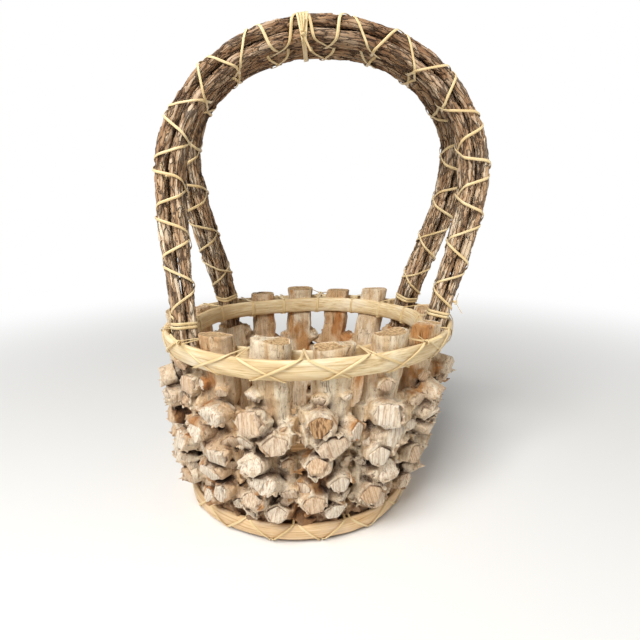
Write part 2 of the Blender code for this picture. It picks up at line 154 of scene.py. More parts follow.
def facing(axis):
    # turns a piece's own Z to an axis
    return axis.to_track_quat("Z", "Y").to_matrix().to_4x4()


def leaning(turn, lean):
    # a direction that leans away from Z
    return Vector((math.cos(turn) * math.sin(lean), math.sin(turn) * math.sin(lean), math.cos(lean)))


def middleOf(corners):
    return sum(corners, Vector()) / len(corners)


def startMaterial(name):
    material = bpy.data.materials.new(name)
    material.use_nodes = True
    return material, material.node_tree.nodes["Principled BSDF"]


def addNode(material, kind, links=None, stops=(), **settings):
    # adds a shader node, sets what is named, links its inputs, fills a ramp's stops and gives its outputs
    node = material.node_tree.nodes.new(kind)
    for name, value in settings.items():
        setattr(node, name, value)
    for socket, value in (links or {}).items():
        if isinstance(value, bpy.types.NodeSocket):
            material.node_tree.links.new(value, node.inputs[socket])
        else:
            node.inputs[socket].default_value = value
    while stops and len(node.color_ramp.elements) < len(stops):
        node.color_ramp.elements.new(0.5)
    for index, (position, colour) in enumerate(stops):
        node.color_ramp.elements[index].position = position
        node.color_ramp.elements[index].color = linear(colour)
    return node.outputs


def layOver(material, base, *layers):
    # lays colours over a base, each by its share
    for share, colour, blend in layers:
        links = {0: share, 6: base, 7: linear(colour) if isinstance(colour, str) else colour}
        base = addNode(material, "ShaderNodeMix", links, data_type="RGBA", blend_type=blend)[2]
    return base


def press(material, *bumps):
    # bumps one over the other: what gives the height, the strength, the depth, and whether it goes inward
    carried = {}
    for height, strength, depth, inward in bumps:
        links = {"Height": height, "Strength": strength, "Distance": depth, **carried}
        carried = {"Normal": addNode(material, "ShaderNodeBump", links, invert=inward)["Normal"]}
    return carried["Normal"]


def addGrain(material, place, stretch, fineness, detail=4, roughness=0.6):
    # noise drawn out along the grain
    mapped = addNode(material, "ShaderNodeMapping", {"Vector": place, "Scale": stretch})["Vector"]
    links = {"Vector": mapped, "Scale": fineness, "Detail": detail, "Roughness": roughness}
    return addNode(material, "ShaderNodeTexNoise", links)["Fac"]


def addFibres(material, place, width, length, axis, detail, roughness=0.6):
    # noise with grains of a real width, and of a real length along one axis
    stretch = [1, 1, 1]
    stretch[axis] = width / length
    return addGrain(material, place, stretch, 1 / (2 * width), detail, roughness)


def finishMaterial(material, shader, colour, roughness, normal):
    shader.inputs["Roughness"].default_value = roughness
    material.node_tree.links.new(colour, shader.inputs["Base Color"])
    material.node_tree.links.new(normal, shader.inputs["Normal"])


cameraView = {
    "eye": (0.0257, -0.460, 0.2946),
    "pitchDown": 13.83,  # degrees
    "roll": 0.57,
    "focalPixels": 440,
    "framePixels": 640,
    "sensorWidth": 36,
}


def addCamera():
    view = cameraView
    bpy.ops.object.camera_add(location=view["eye"])
    camera = bpy.context.object
    camera.name = "photoCamera"
    camera.rotation_euler = (math.radians(90 - view["pitchDown"]), math.radians(view["roll"]), 0)
    camera.data.sensor_width = view["sensorWidth"]
    camera.data.lens = view["focalPixels"] / view["framePixels"] * view["sensorWidth"]
    camera.data.clip_start = 0.01
    bpy.context.scene.camera = camera


studio = {
    "floor": "#f2f1ee",
    "floorSize": 12,
    "floorRoughness": 0.9,
    "openFrom": 0.35,  # where the lit floor starts to give way to plain white
    "openTo": 1.3,
    "worldStrength": 0.17,
    "lamps": (  # name, power, size and place
        ("keyLamp", 37, 0.9, (-0.5, -1.0, 1.5)),
        ("fillLamp", 4, 1.2, (1.2, -0.6, 0.8)),
    ),
    "lampsAim": (0, 0, 0.2),
}


def seenRays(owner):
    # 1 for rays that show the background itself: straight, mirrored or through glass
    rays = addNode(owner, "ShaderNodeLightPath")
    seen = rays["Is Camera Ray"]
    for name in ("Is Glossy Ray", "Is Transmission Ray"):
        seen = addNode(owner, "ShaderNodeMath", {0: seen, 1: rays[name]}, operation="MAXIMUM")[0]
    return seen


def addFloor():
    # pale paper: it keeps the object's shadow near it and runs out into plain white further off
    floor = addPrimitive(bpy.ops.mesh.primitive_plane_add, size=studio["floorSize"])
    floor.name = "studioFloor"
    paper, shader = startMaterial("studioPaper")
    shader.inputs["Base Color"].default_value = linear(studio["floor"])
    shader.inputs["Roughness"].default_value = studio["floorRoughness"]
    white = addNode(paper, "ShaderNodeEmission")[0]
    place = addNode(paper, "ShaderNodeTexCoord")["Object"]
    length = addNode(paper, "ShaderNodeVectorMath", {0: place}, operation="LENGTH")["Value"]
    links = {"Value": length, "From Min": studio["openFrom"], "From Max": studio["openTo"]}
    away = addNode(paper, "ShaderNodeMapRange", links, interpolation_type="SMOOTHSTEP")["Result"]
    share = addNode(paper, "ShaderNodeMath", {0: away, 1: seenRays(paper)}, operation="MULTIPLY")[0]
    blend = addNode(paper, "ShaderNodeMixShader", {0: share, 1: shader.outputs[0], 2: white})[0]
    paper.node_tree.links.new(blend, paper.node_tree.nodes["Material Output"].inputs["Surface"])
    floor.data.materials.append(paper)


def addStudio():
    addFloor()
    world = bpy.data.worlds.new("studioWorld")
    world.use_nodes = True
    background = world.node_tree.nodes["Background"].inputs
    background["Color"].default_value = (1, 1, 1, 1)
    # plain white where it is seen, softer where it only lights
    links = {"Value": seenRays(world), "To Min": studio["worldStrength"], "To Max": 1}
    strength = addNode(world, "ShaderNodeMapRange", links)["Result"]
    world.node_tree.links.new(strength, background["Strength"])
    bpy.context.scene.world = world
    for name, power, size, place in studio["lamps"]:
        bpy.ops.object.light_add(type="AREA", location=place)
        lamp = bpy.context.object
        lamp.name = name
        lamp.data.energy = power
        lamp.data.size = size
        aim = Vector(studio["lampsAim"]) - Vector(place)
        lamp.rotation_euler = aim.to_track_quat("-Z", "Y").to_euler()
    bpy.context.scene.view_settings.view_transform = "Standard"


rootWood = {
    "streakDark": "#cba67c",
    "streak": "#e2c69d",
    "streakPale": "#f4e4c8",
    "sawnLine": "#c9a686",
    "sawnDull": "#e9d4b8",
    "sawn": "#f8ecd8",
    # painted shade: brown in the hollows, from ambient occlusion
    "hollowShade": "#7b5236",
    "tan": "#e4c8a8",
    "rust": "#d6a66c",
    "debris": "#8a643f",
    "debrisTop": 0.045,
    "frayed": "#c99f6f",
    "frayedDark": "#76502f",
    "endGrain": "#dfbd8c",
    "endGrainDark": "#a67c4e",
    # painted shade, near black, in the deepest hollows
    "crack": "#4f331c",
    "deep": "#2e1b0d",
    "bandWidth": 0.0045,
    "bandLength": 0.080,
    "fibreWidth": 0.0010,
    "fibreLength": 0.018,
    "cutWidth": 0.0006,  # of the lines on a sawn face
    "hollowDepth": 0.016,
    "crackSpacing": 0.017,
    "splitWidth": 0.0030,  # between the splits that run along the fibres
    "splitLength": 0.026,
    "wrinkle": "#b58a66",
    "wrinkleWidth": 0.0016,
    "wrinkleDepth": 0.0012,
    "roughness": 0.8,
}


def makeRootWood():
    # debarked root, split and sawn: dry, matt, long soft streaks on the stem, fine straight lines on the cut
    # faces, painted shade in brown where the hollows are closed in, rusty where it tore
    look = rootWood
    material, shader = startMaterial("dryRootWood")
    place = addNode(material, "ShaderNodeAttribute", attribute_name="grain")["Vector"]
    share = {
        name: addNode(material, "ShaderNodeAttribute", attribute_name=name)["Fac"]
        for name in ("sawn", "frayed", "reach", "tint", "endGrain")
    }
    fibres = addFibres(material, place, look["fibreWidth"], look["fibreLength"], 2, 3, 0.55)
    bands = addFibres(material, place, look["bandWidth"], look["bandLength"], 2, 3, 0.5)
    lines = addFibres(material, place, look["cutWidth"], look["fibreLength"], 2, 5, 0.68)
    course = addFibres(material, place, look["splitWidth"], look["splitLength"], 2, 1, 0.5)
    patches = addGrain(material, place, (1, 1, 0.45), 30, 3)
    gaping = addGrain(material, place, (1, 1, 0.3), 110, 2)
    speckles = addGrain(material, place, (1, 1, 1), 500, 4)
    warped = addGrain(material, place, (1, 1, 1), 90, 2)
    wrinkles = addGrain(material, place, (1, 1, 0.45), 1 / (2 * look["wrinkleWidth"]), 5, 0.7)

    fine = addNode(material, "ShaderNodeMath", {0: fibres, 1: 0.35}, operation="MULTIPLY")[0]
    level = addNode(material, "ShaderNodeMath", {0: bands, 1: 0.65, 2: fine}, operation="MULTIPLY_ADD")[0]
    outer = addNode(material, "ShaderNodeMath", {0: share["reach"], 1: 0.5}, operation="MULTIPLY")[0]
    pale = addNode(material, "ShaderNodeMath", {0: outer, 1: share["sawn"]}, operation="MAXIMUM")[0]
    links = {0: share["sawn"], 1: -0.07, 2: patches}
    stained = addNode(material, "ShaderNodeMath", links, operation="MULTIPLY_ADD")[0]
    spot = addNode(material, "ShaderNodeTexCoord")["Object"]
    height = addNode(material, "ShaderNodeSeparateXYZ", {0: spot})["Z"]
    links = {"Value": height, 1: look["debrisTop"] * 0.4, 2: look["debrisTop"], 3: 0.4, 4: 0.0}
    low = addNode(material, "ShaderNodeMapRange", links)["Result"]
    scraps = addGrain(material, spot, (1, 1, 0.7), 260, 4, 0.7)
    heap = addNode(material, "ShaderNodeMath", {0: low, 1: scraps}, operation="ADD")[0]
    links = {0: share["sawn"], 1: -0.4, 2: heap}
    kept = addNode(material, "ShaderNodeMath", links, operation="MULTIPLY_ADD")[0]
    bent = addNode(material, "ShaderNodeVectorMath", {0: place, 1: warped}, operation="ADD")["Vector"]
    links = {"Vector": bent, "Scale": 1 / look["crackSpacing"]}
    cell = addNode(material, "ShaderNodeTexVoronoi", links, feature="DISTANCE_TO_EDGE")["Distance"]
    # ambient occlusion: how closed in each spot is, which sets the painted shade in the hollows
    links = {"Distance": look["hollowDepth"]}
    openness = addNode(material, "ShaderNodeAmbientOcclusion", links, samples=5, only_local=True)["AO"]

    ramps = {
        "stem": (level, [(0.36, look["streakDark"]), (0.46, look["streak"]), (0.58, look["streakPale"])]),
        "cut": (lines, [(0.36, look["sawnLine"]), (0.45, look["sawnDull"]), (0.54, look["sawn"])]),
        "torn": (fibres, [(0.4, look["frayedDark"]), (0.54, look["frayed"])]),
        "ends": (speckles, [(0.38, look["endGrainDark"]), (0.56, look["endGrain"])]),
        "tan": (share["tint"], [(0.45, "#000000"), (1, "#e8e8e8")]),
        "rusty": (stained, [(0.55, "#000000"), (0.64, "#f4f4f4")]),
        "scrappy": (kept, [(0.6, "#000000"), (0.74, "#f0f0f0")]),
        "cracks": (cell, [(0.006, "#c0c0c0"), (0.022, "#000000")]),
        "splits": (course, [(0.486, "#000000"), (0.5, "#e4e4e4"), (0.514, "#000000")]),
        "gaping": (gaping, [(0.5, "#000000"), (0.56, "#ffffff")]),
        "creases": (wrinkles, [(0.36, "#a8a8a8"), (0.46, "#000000")]),
        "shadeInHollows": (openness, [(0.34, "#f4f4f4"), (0.78, "#000000")]),
        "deepestShade": (openness, [(0.24, "#ffffff"), (0.54, "#000000")]),
    }
    ramp = {
        name: addNode(material, "ShaderNodeValToRGB", {"Fac": value}, stops)["Color"]
        for name, (value, stops) in ramps.items()
    }
    splits = layOver(material, ramp["splits"], (1.0, ramp["gaping"], "MULTIPLY"))
    cracks = layOver(material, ramp["cracks"], (1.0, splits, "LIGHTEN"))
    wood = layOver(
        material,
        ramp["stem"],
        (pale, ramp["cut"], "MIX"),
        (ramp["tan"], look["tan"], "MULTIPLY"),
        (ramp["rusty"], look["rust"], "MULTIPLY"),
        (ramp["scrappy"], look["debris"], "MIX"),
        (share["frayed"], ramp["torn"], "MIX"),
        (share["endGrain"], ramp["ends"], "MIX"),
        (cracks, look["crack"], "MIX"),
        (ramp["creases"], look["wrinkle"], "MULTIPLY"),
        # painted shade: brown in the hollows, then near black in the deepest ones
        (ramp["shadeInHollows"], look["hollowShade"], "MIX"),
        (ramp["deepestShade"], look["deep"], "MIX"),
    )
    normal = press(
        material,
        (wrinkles, 0.9, look["wrinkleDepth"], False),
        (fibres, 0.6, 0.0008, False),
        (cracks, 0.8, 0.0012, True),
    )
    finishMaterial(material, shader, wood, look["roughness"], normal)
    return material


knuckle = {
    "kinds": 14,
    "radius": 0.0114,
    "length": 0.021,
    "sides": (5, 8),
    "width": (0.85, 1.15),  # across and up, as shares of the radius
    "height": (0.7, 0.9),
    "unevenness": 0.0022,
    "tipLean": (0.02, 0.42),  # of the main cut, in radians
    "tipDepth": (0.8, 0.94),  # of half the length
    "sideCuts": (2, 4),
    "sideLean": (0.55, 1.1),
    "sideDepth": (0.84, 1.06),  # of the radius
    "uncut": 0.7,  # how sawn the rest of a head looks
    "edge": 0.0005,  # width of its worn edges
    "rippleSize": 0.0040,
    "rippleDepth": 0.0014,
    "collarFoot": 1.2,  # of the radius
    "collarMouth": 1.04,
    "collarLength": 0.014,
    "raggedness": 0.0030,
    "shreds": (5, 9),
    "shred": 0.0029,
}


def sawOff(normal, depth):
    # cuts all beyond a plane away and marks the face that the blade left
    with wholeSelected():
        bpy.ops.mesh.bisect(plane_co=normal * depth, plane_no=normal, use_fill=True, clear_outer=True)
    mesh = bpy.context.object.data
    for face in mesh.polygons:
        if face.normal.dot(normal) > 0.98 and abs(face.center.dot(normal) - depth) < 0.0002:
            mesh.attributes["sawn"].data[face.index].value = 1


def roughen(offset, seed, wide, flat):
    with wholeSelected():
        bpy.ops.transform.vertex_random(offset=offset, seed=seed)
        bpy.ops.transform.resize(value=(wide, flat, 1))


def makeKnuckle(kind, ripple):
    # the stub of a side root: a short thick head that the blade left with flat faces, and the lip of wood
    # round its foot
    size = knuckle
    pick = random.Random(40 + kind)
    wide, flat = pick.uniform(*size["width"]), pick.uniform(*size["height"])
    sides = pick.randint(*size["sides"])
    head = addPrimitive(
        bpy.ops.mesh.primitive_cylinder_add, vertices=sides, radius=size["radius"], depth=size["length"]
    )
    head.name = f"knuckleHead{kind}"
    mark(head.data, "sawn", [size["uncut"]] * len(head.data.polygons), domain="FACE")
    roughen(size["unevenness"], kind, wide, flat)
    tip = leaning(pick.uniform(0, math.tau), pick.uniform(*size["tipLean"]))
    sawOff(tip, size["length"] / 2 * pick.uniform(*size["tipDepth"]))
    cuts = pick.randint(*size["sideCuts"])
    for cut in range(cuts):
        turn = math.tau * (cut + pick.uniform(-0.3, 0.3)) / cuts
        lean = pick.uniform(*size["sideLean"])
        sawOff(leaning(turn, lean), size["radius"] * pick.uniform(*size["sideDepth"]))
    sharp = math.radians(20)
    applyModifier(head, "BEVEL", width=size["edge"], segments=2, limit_method="ANGLE", angle_limit=sharp)
    applyModifier(head, "SUBSURF", subdivision_type="SIMPLE", levels=1, render_levels=1)
    applyModifier(head, "DISPLACE", texture=ripple, strength=size["rippleDepth"], mid_level=0.5)
    corners = [v.co for v in head.data.vertices]
    grain = [c for co in corners for c in (co.x + 0.05 * kind, co.z, co.y)]  # the lines run up its face
    mark(head.data, "grain", grain, "FLOAT_VECTOR")
    mark(head.data, "frayed", [float(kind == 0)] * len(corners))
    collar = addPrimitive(
        bpy.ops.mesh.primitive_cone_add,
        vertices=12,
        radius1=size["radius"] * size["collarFoot"],
        radius2=size["radius"] * size["collarMouth"],
        depth=size["collarLength"],
        location=(0, 0, -size["collarLength"] / 2 + pick.uniform(0, 0.0015)),
        rotation=(pick.uniform(0.0, 0.42), pick.uniform(-0.2, 0.2), 0),  # the upper lip hangs over the head
    )
    collar.name = f"knuckleCollar{kind}"
    roughen(size["raggedness"], kind + 20, wide, flat)
    shreds = []
    mouth = size["radius"] * size["collarMouth"] * 0.96
    for shred in range(pick.randint(*size["shreds"])):
        # torn ends of the lip
        turn = pick.uniform(0, math.tau)
        x, y = math.cos(turn) * mouth * wide, math.sin(turn) * mouth * flat
        shreds.append(
            addPrimitive(
                bpy.ops.mesh.primitive_cone_add,
                vertices=4,
                radius1=size["shred"] * pick.uniform(0.6, 1.1),
                radius2=size["shred"] * 0.12,
                depth=size["shred"] * pick.uniform(1.8, 3.2),
                location=(x, y, pick.uniform(-0.001, 0.003)),
                rotation=(pick.uniform(-0.6, 0.6), pick.uniform(-0.6, 0.6), turn),
            )
        )
    selectOnly(collar, *shreds)
    bpy.ops.object.join()
    return head, collar


def makeTuft(kind):
    # a few torn fibres that stand off the wood
    pick = random.Random(kind)
    fibres = []
    for fibre in range(stake["tuftFibres"]):
        long = pick.uniform(*stake["tuftLength"])
        tilt = (pick.uniform(-0.5, 0.5), pick.uniform(-0.5, 0.5), 0)
        fibres.append(
            addPrimitive(
                bpy.ops.mesh.primitive_cone_add,
                vertices=4,
                radius1=0.00028,
                radius2=0.00006,
                depth=long,
                location=(tilt[1] * long / 2, -tilt[0] * long / 2, long * 0.42),
                rotation=tilt,
            )
        )
    selectOnly(*fibres)
    bpy.ops.object.join()
    return fibres[0]


stake = {
    "voxel": 0.00114,
    "roughVoxel": 0.0022,  # of the bare stem
    "lumpSize": 0.022,
    "lumpDepth": 0.0045,
    "fibreWidth": 0.0022,
    "fibreDepth": 0.0005,
    "fibreStretch": 16,
    "chipSize": 0.0050,
    "chipDepth": 0.0007,
    "stubReach": 0.0118,  # the CAD stake's stubs end further out than this
    "wornReach": 0.013,  # where the wood looks as pale as a cut
    "overHoop": 0.011,
    "stubSize": (0.92, 1.14),
    "smallSizes": ((0.62, 0.95), (0.42, 0.72)),  # of the two stubs beside each
    "highSize": (0.42, 0.72),  # of the ones near the rim
    "crumbs": 18,
    "crumbRadius": (0.0012, 0.0032),
    "crumbHeight": (0.019, 0.032),
    "tufts": 14,
    "tuftKinds": 4,
    "tuftFibres": 5,
    "tuftLength": (0.004, 0.009),
    "tuftMargin": 0.012,  # none so near the floor or the top
    "topTilt": 0.14,
    "endRing": 0.0007,  # worn edge of the sawn top, and how far the top lies below it
    "endDip": 0.0004,
    "torn": {"stake_03": 0.09, "stake_05": 0.12, "stake_09": 0.126, "stake_12": 0.07},  # heights of torn stubs
}


def facetsBeyond(mesh, isBeyond):
    # middles of the separate patches of faces that lie wholly beyond a limit
    patches = []
    for face in mesh.polygons:
        if all(isBeyond(mesh.vertices[v].co) for v in face.vertices):
            here = set(face.vertices)
            touching = [patch for patch in patches if patch & here]
            patches = [patch for patch in patches if not patch & here] + [here.union(*touching)]
    return [sum((mesh.vertices[v].co for v in patch), Vector()) / len(patch) for patch in patches]


def stakeStubs(tips, top, middle, slope, across, normal, pick):
    # places, directions and sizes: a stub on each tip of the CAD stake, and smaller ones beside it
    hoopTop = hoopBoxes["base_outer_hoop"][1].z
    stubs = []
    for tip in sorted(tips, key=lambda c: c.z):
        aside = (tip - middle - slope * tip.z).dot(across)
        side = math.copysign(1, aside) if abs(aside) > 0.001 else 0
        lean = across * (side * pick.uniform(0.0, 0.4)) + upward * pick.uniform(-0.35, 0.45)
        axis = (normal + lean).normalized()
        size = pick.uniform(*stake["stubSize"])
        lowest = hoopTop + stake["overHoop"] + size * knuckle["radius"] * 0.8
        if tip.z < lowest:  # the lowest ones leave the hoop in view
            size *= 0.85
            tip = tip + upward * (lowest - tip.z)
        stubs.append((tip - axis * (knuckle["length"] * 0.36), axis, size))
        other = -side or pick.choice((-1, 1))
        for turn, sizes in zip((other, -other), stake["smallSizes"]):
            sideways = across * (turn * pick.uniform(0.012, 0.018))
            beside = middle + slope * (tip.z - pick.uniform(0.001, 0.014)) + sideways
            axis = normal + across * (turn * pick.uniform(0.2, 1.2)) + slope * pick.uniform(-0.6, 0.4)
            if beside.z - 0.009 > hoopTop + stake["overHoop"] * 0.6:
                place = beside - normal * pick.uniform(0.0, 0.006)
                stubs.append((place, axis.normalized(), pick.uniform(*sizes)))
    highest = max(tip.z for tip in tips)
    for extra in range(pick.randint(1, 2)):
        # small ones near the rim, where the CAD stake is bare
        height = pick.uniform(highest + 0.016, max(highest + 0.018, top - 0.045))
        sideways = across * (pick.choice((-1, 1)) * pick.uniform(0.004, 0.013))
        axis = (normal + sideways * 50 - slope * pick.uniform(0, 0.5)).normalized()
        size = pick.uniform(*stake["highSize"])
        stubs.append((middle + slope * height + sideways - normal * (0.004 * size), axis, size))
    return stubs


def dressStake(node, kinds, tufts, material, lumps, fibres, chips, grainFrame):
    pick = random.Random(node)
    piece = mergedCopy(node, node + "Wood")
    corners = [v.co.copy() for v in piece.data.vertices]
    feet = [c for c in corners if c.z < 0.0001]
    foot = middleOf(feet)
    top = max(c.z for c in corners)
    heads = [c for c in corners if c.z > top - 0.004]
    out = foot.normalized()
    across = upward.cross(out)
    slope = (middleOf(heads) - foot) / (top - 0.002)
    normal = across.cross(slope.normalized())
    face = max(feet, key=lambda c: c.dot(out)) + out * 0.0003
    middle = foot + out * ((face - foot).dot(out))
    tips = facetsBeyond(piece.data, lambda c: (c - face).dot(normal) > stake["stubReach"])
    with wholeSelected():
        bpy.ops.mesh.bisect(plane_co=face, plane_no=normal, use_fill=True, clear_outer=True)
    applyModifier(piece, "REMESH", mode="VOXEL", voxel_size=stake["roughVoxel"])
    applyModifier(piece, "DISPLACE", texture=lumps, strength=stake["lumpDepth"], mid_level=0.55)
    woods, stubs = [piece], []
    wanted = stakeStubs(tips, top, middle, slope, across, normal, pick)
    tornHeight = stake["torn"].get(node)
    large = [spot for spot in wanted if spot[2] > 0.9]
    torn = min(large, key=lambda spot: abs(spot[0].z - tornHeight)) if tornHeight else None
    for place, axis, size in wanted:
        turn = facing(axis) @ Matrix.Rotation(pick.uniform(-0.35, 0.35), 4, "Z")
        spot = Matrix.Translation(place) @ turn @ Matrix.Scale(size, 4)
        isTorn = bool(torn) and place is torn[0]
        head, collar = kinds[0] if isTorn else pick.choice(kinds[1:])
        woods.append(ownCopy(collar, spot))
        stub = ownCopy(head, spot)
        mark(stub.data, "tint", [pick.random()] * len(stub.data.vertices))
        stubs.append(stub)
    for tip in tips:
        for side in (-1, 1):
            spot = middle + slope * (tip.z - pick.uniform(0, 0.012))
            spot = spot + across * (side * pick.uniform(0.015, 0.019))
            turn = facing(across * side + normal * 0.3)
            place = Matrix.Translation(spot - normal * pick.uniform(0.006, 0.011)) @ turn
            woods.append(ownCopy(pick.choice(kinds)[1], place @ Matrix.Scale(pick.uniform(0.7, 0.95), 4)))
    for crumb in range(stake["crumbs"]):
        spot = middle + slope * pick.uniform(*stake["crumbHeight"]) + across * pick.uniform(-0.015, 0.015)
        radius = pick.uniform(*stake["crumbRadius"])
        crumbs = bpy.ops.mesh.primitive_ico_sphere_add
        woods.append(addPrimitive(crumbs, subdivisions=1, radius=radius, location=spot))
    selectOnly(*woods)
    bpy.ops.object.join()
    applyModifier(piece, "REMESH", mode="VOXEL", voxel_size=stake["voxel"])
    applyModifier(piece, "DISPLACE", texture=chips, strength=stake["chipDepth"], mid_level=0.5)
    along = {"texture_coords": "OBJECT", "texture_coords_object": grainFrame}
    applyModifier(piece, "DISPLACE", texture=fibres, strength=stake["fibreDepth"], **along)
    tilt = Vector((pick.uniform(-1, 1), pick.uniform(-1, 1), 0)) * stake["topTilt"] + upward
    crown = middleOf(heads)
    crown.z = top - 0.0018
    with wholeSelected():
        bpy.ops.mesh.bisect(plane_co=crown, plane_no=tilt.normalized(), use_fill=True, clear_outer=True)
        bpy.ops.mesh.inset(thickness=stake["endRing"], depth=-stake["endDip"], use_even_offset=False)
    mesh = piece.data
    isEnd = [float(face.normal.z > 0.9 and face.area > 0.00005) for face in mesh.polygons]
    mark(mesh, "endGrain", isEnd, domain="FACE")
    mark(mesh, "sawn", [0.0] * len(mesh.polygons), domain="FACE")
    depths = [(v.co - face).dot(normal) / stake["wornReach"] for v in mesh.vertices]
    mark(mesh, "reach", [min(1, max(0, depth)) for depth in depths])
    mark(mesh, "grain", [c for v in mesh.vertices for c in v.co], "FLOAT_VECTOR")
    mark(mesh, "tint", [pick.uniform(0.1, 0.9)] * len(mesh.vertices))
    for number in range(stake["tufts"]):
        v = mesh.vertices[pick.randrange(len(mesh.vertices))]
        axis = (v.normal + Vector((0, 0, pick.choice((-1, 1)) * pick.uniform(0.5, 2)))).normalized()
        if stake["tuftMargin"] < v.co.z < top - stake["tuftMargin"]:
            stubs.append(ownCopy(pick.choice(tufts), Matrix.Translation(v.co) @ facing(axis)))
    selectOnly(piece, *stubs)
    bpy.ops.object.join()
    bpy.ops.object.shade_smooth_by_angle(angle=math.radians(32))
    finishPiece(piece, material, node)


def addStakes():
    material = makeRootWood()
    ripple = relief("stubRipple", "CLOUDS", knuckle["rippleSize"], noise_depth=1)
    kinds = [makeKnuckle(kind, ripple) for kind in range(knuckle["kinds"])]
    tufts = [makeTuft(kind) for kind in range(stake["tuftKinds"])]
    lumps = relief("rootLumps", "CLOUDS", stake["lumpSize"], noise_depth=1)
    fibres = relief("rootFibres", "CLOUDS", stake["fibreWidth"], noise_depth=2)
    chips = relief("rootChips", "CLOUDS", stake["chipSize"], noise_depth=1)
    bpy.ops.object.empty_add()
    grainFrame = bpy.context.object
    grainFrame.scale = (1, 1, stake["fibreStretch"])
    bpy.context.view_layer.update()
    names = [name for name in nodes if "stake" in name]
    for node in sorted(names):
        dressStake(node, kinds, tufts, material, lumps, fibres, chips, grainFrame)
    discard(grainFrame, *tufts, *(part for kind in kinds for part in kind))
    print("stakes:", len(names))


vineBark = {
    "crack": "#3f2c1e",
    "dark": "#795b41",
    "bark": "#a4815f",
    "plate": "#c4a37d",
    "ridge": "#eedbbf",
    "rust": "#a8744a",
    "lichen": "#b3ab99",
    "plateWidth": 0.0036,
    "plateLength": 0.027,
    "fibreWidth": 0.0010,
    "fibreLength": 0.007,
    "roughness": 0.88,
    "crownShade": "#d2c6bd",  # painted shade: the bark is darker towards the crown
    "crownFrom": 0.3,
    "crownTo": 0.43,
}


def makeVineBark():
    # old vine with its bark on: long fissured plates of unlike browns, black in the cracks, worn pale on
    # the ridges
    look = vineBark
    material, shader = startMaterial("fissuredVineBark")
    place = addNode(material, "ShaderNodeAttribute", attribute_name="straight")["Vector"]
    height = addNode(material, "ShaderNodeAttribute", attribute_name="relief")["Fac"]
    fibres = addFibres(material, place, look["fibreWidth"], look["fibreLength"], 0, 4, 0.65)
    wander = addNode(material, "ShaderNodeTexNoise", {"Vector": place, "Scale": 110.0, "Detail": 3.0})["Color"]
    links = {0: wander, 1: (0.0040, 0.0034, 0.0034)}
    offset = addNode(material, "ShaderNodeVectorMath", links, operation="MULTIPLY")["Vector"]
    bent = addNode(material, "ShaderNodeVectorMath", {0: place, 1: offset}, operation="ADD")["Vector"]
    stretch = (look["plateWidth"] / look["plateLength"], 1, 1)
    plates = addNode(material, "ShaderNodeMapping", {"Vector": bent, "Scale": stretch})["Vector"]
    links = {"Vector": plates, "Scale": 1 / look["plateWidth"]}
    edge = addNode(material, "ShaderNodeTexVoronoi", links, feature="DISTANCE_TO_EDGE")["Distance"]
    each = addNode(material, "ShaderNodeTexVoronoi", links)["Color"]
    gaping = addGrain(material, place, (0.5, 1, 1), 130, 2)
    links = {"Value": gaping, 1: 0.4, 2: 0.6, 3: 3.6, 4: 0.5}
    width = addNode(material, "ShaderNodeMapRange", links)["Result"]
    narrowed = addNode(material, "ShaderNodeMath", {0: edge, 1: width}, operation="MULTIPLY")[0]
    tone = addNode(material, "ShaderNodeSeparateColor", {"Color": each})["Red"]
    raised = addNode(material, "ShaderNodeMath", {0: height, 1: 0.5}, operation="MULTIPLY")[0]
    links = {0: fibres, 1: 0.5, 2: raised}
    grain = addNode(material, "ShaderNodeMath", links, operation="MULTIPLY_ADD")[0]
    level = addNode(material, "ShaderNodeMath", {0: tone, 1: 0.2, 2: grain}, operation="MULTIPLY_ADD")[0]
    patches = addGrain(material, place, (0.35, 1, 1), 60, 3)
    spot = addNode(material, "ShaderNodeTexCoord")["Object"]
    rise = addNode(material, "ShaderNodeSeparateXYZ", {0: spot})["Z"]
    links = {"Value": rise, 1: look["crownFrom"], 2: look["crownTo"], 3: 0.0, 4: 1.0}
    high = addNode(material, "ShaderNodeMapRange", links)["Result"]
    browns = ("crack", "dark", "bark", "plate", "ridge")
    ramps = {
        "bark": (level, [(at, look[brown]) for at, brown in zip((0.3, 0.44, 0.58, 0.72, 0.92), browns)]),
        "rusty": (patches, [(0.52, "#000000"), (0.66, "#8a8a8a")]),
        "grey": (patches, [(0.34, "#8c8c8c"), (0.44, "#000000")]),
        "cracks": (narrowed, [(0.03, "#e4e4e4"), (0.09, "#787878"), (0.2, "#000000")]),
    }
    ramp = {
        name: addNode(material, "ShaderNodeValToRGB", {"Fac": value}, stops)["Color"]
        for name, (value, stops) in ramps.items()
    }
    bark = layOver(
        material,
        ramp["bark"],
        (ramp["rusty"], look["rust"], "MIX"),
        (ramp["grey"], look["lichen"], "MIX"),
        (ramp["cracks"], look["crack"], "MIX"),
        # painted shade, darker towards the crown
        (high, look["crownShade"], "MULTIPLY"),
    )
    normal = press(material, (fibres, 0.8, 0.0008, False), (ramp["cracks"], 1.0, 0.0030, True))
    finishMaterial(material, shader, bark, look["roughness"], normal)
    return material


rod = {
    "radius": 0.0055,
    "cadRadius": 0.0063,
    "sides": 36,
    "step": 0.0012,  # between rings of a straight rod
    "plateWidth": 0.0040,
    "plateDepth": 0.0052,
    "plateStretch": 3.4,
    "plateRise": 0.0013,
    "crackDepth": 0.0026,
    "swellLength": 0.007,
    "swellDepth": 0.0042,
    "flakeSize": 0.0013,
    "flakeDepth": 0.0018,
}


def walkTube(mesh, start):
    # walks along a lofted tube from the vertices of its first ring, and gives the corners of each ring
    beside = {v.index: set() for v in mesh.vertices}
    for edge in mesh.edges:
        first, second = edge.vertices
        beside[first].add(second)
        beside[second].add(first)
    rings, seen = [set(start)], set(start)
    while rings[-1]:
        following = set().union(*(beside[v] for v in rings[-1])) - seen
        seen |= following
        rings.append(following)
    return [[mesh.vertices[v].co.copy() for v in sorted(ring)] for ring in rings[:-1]]


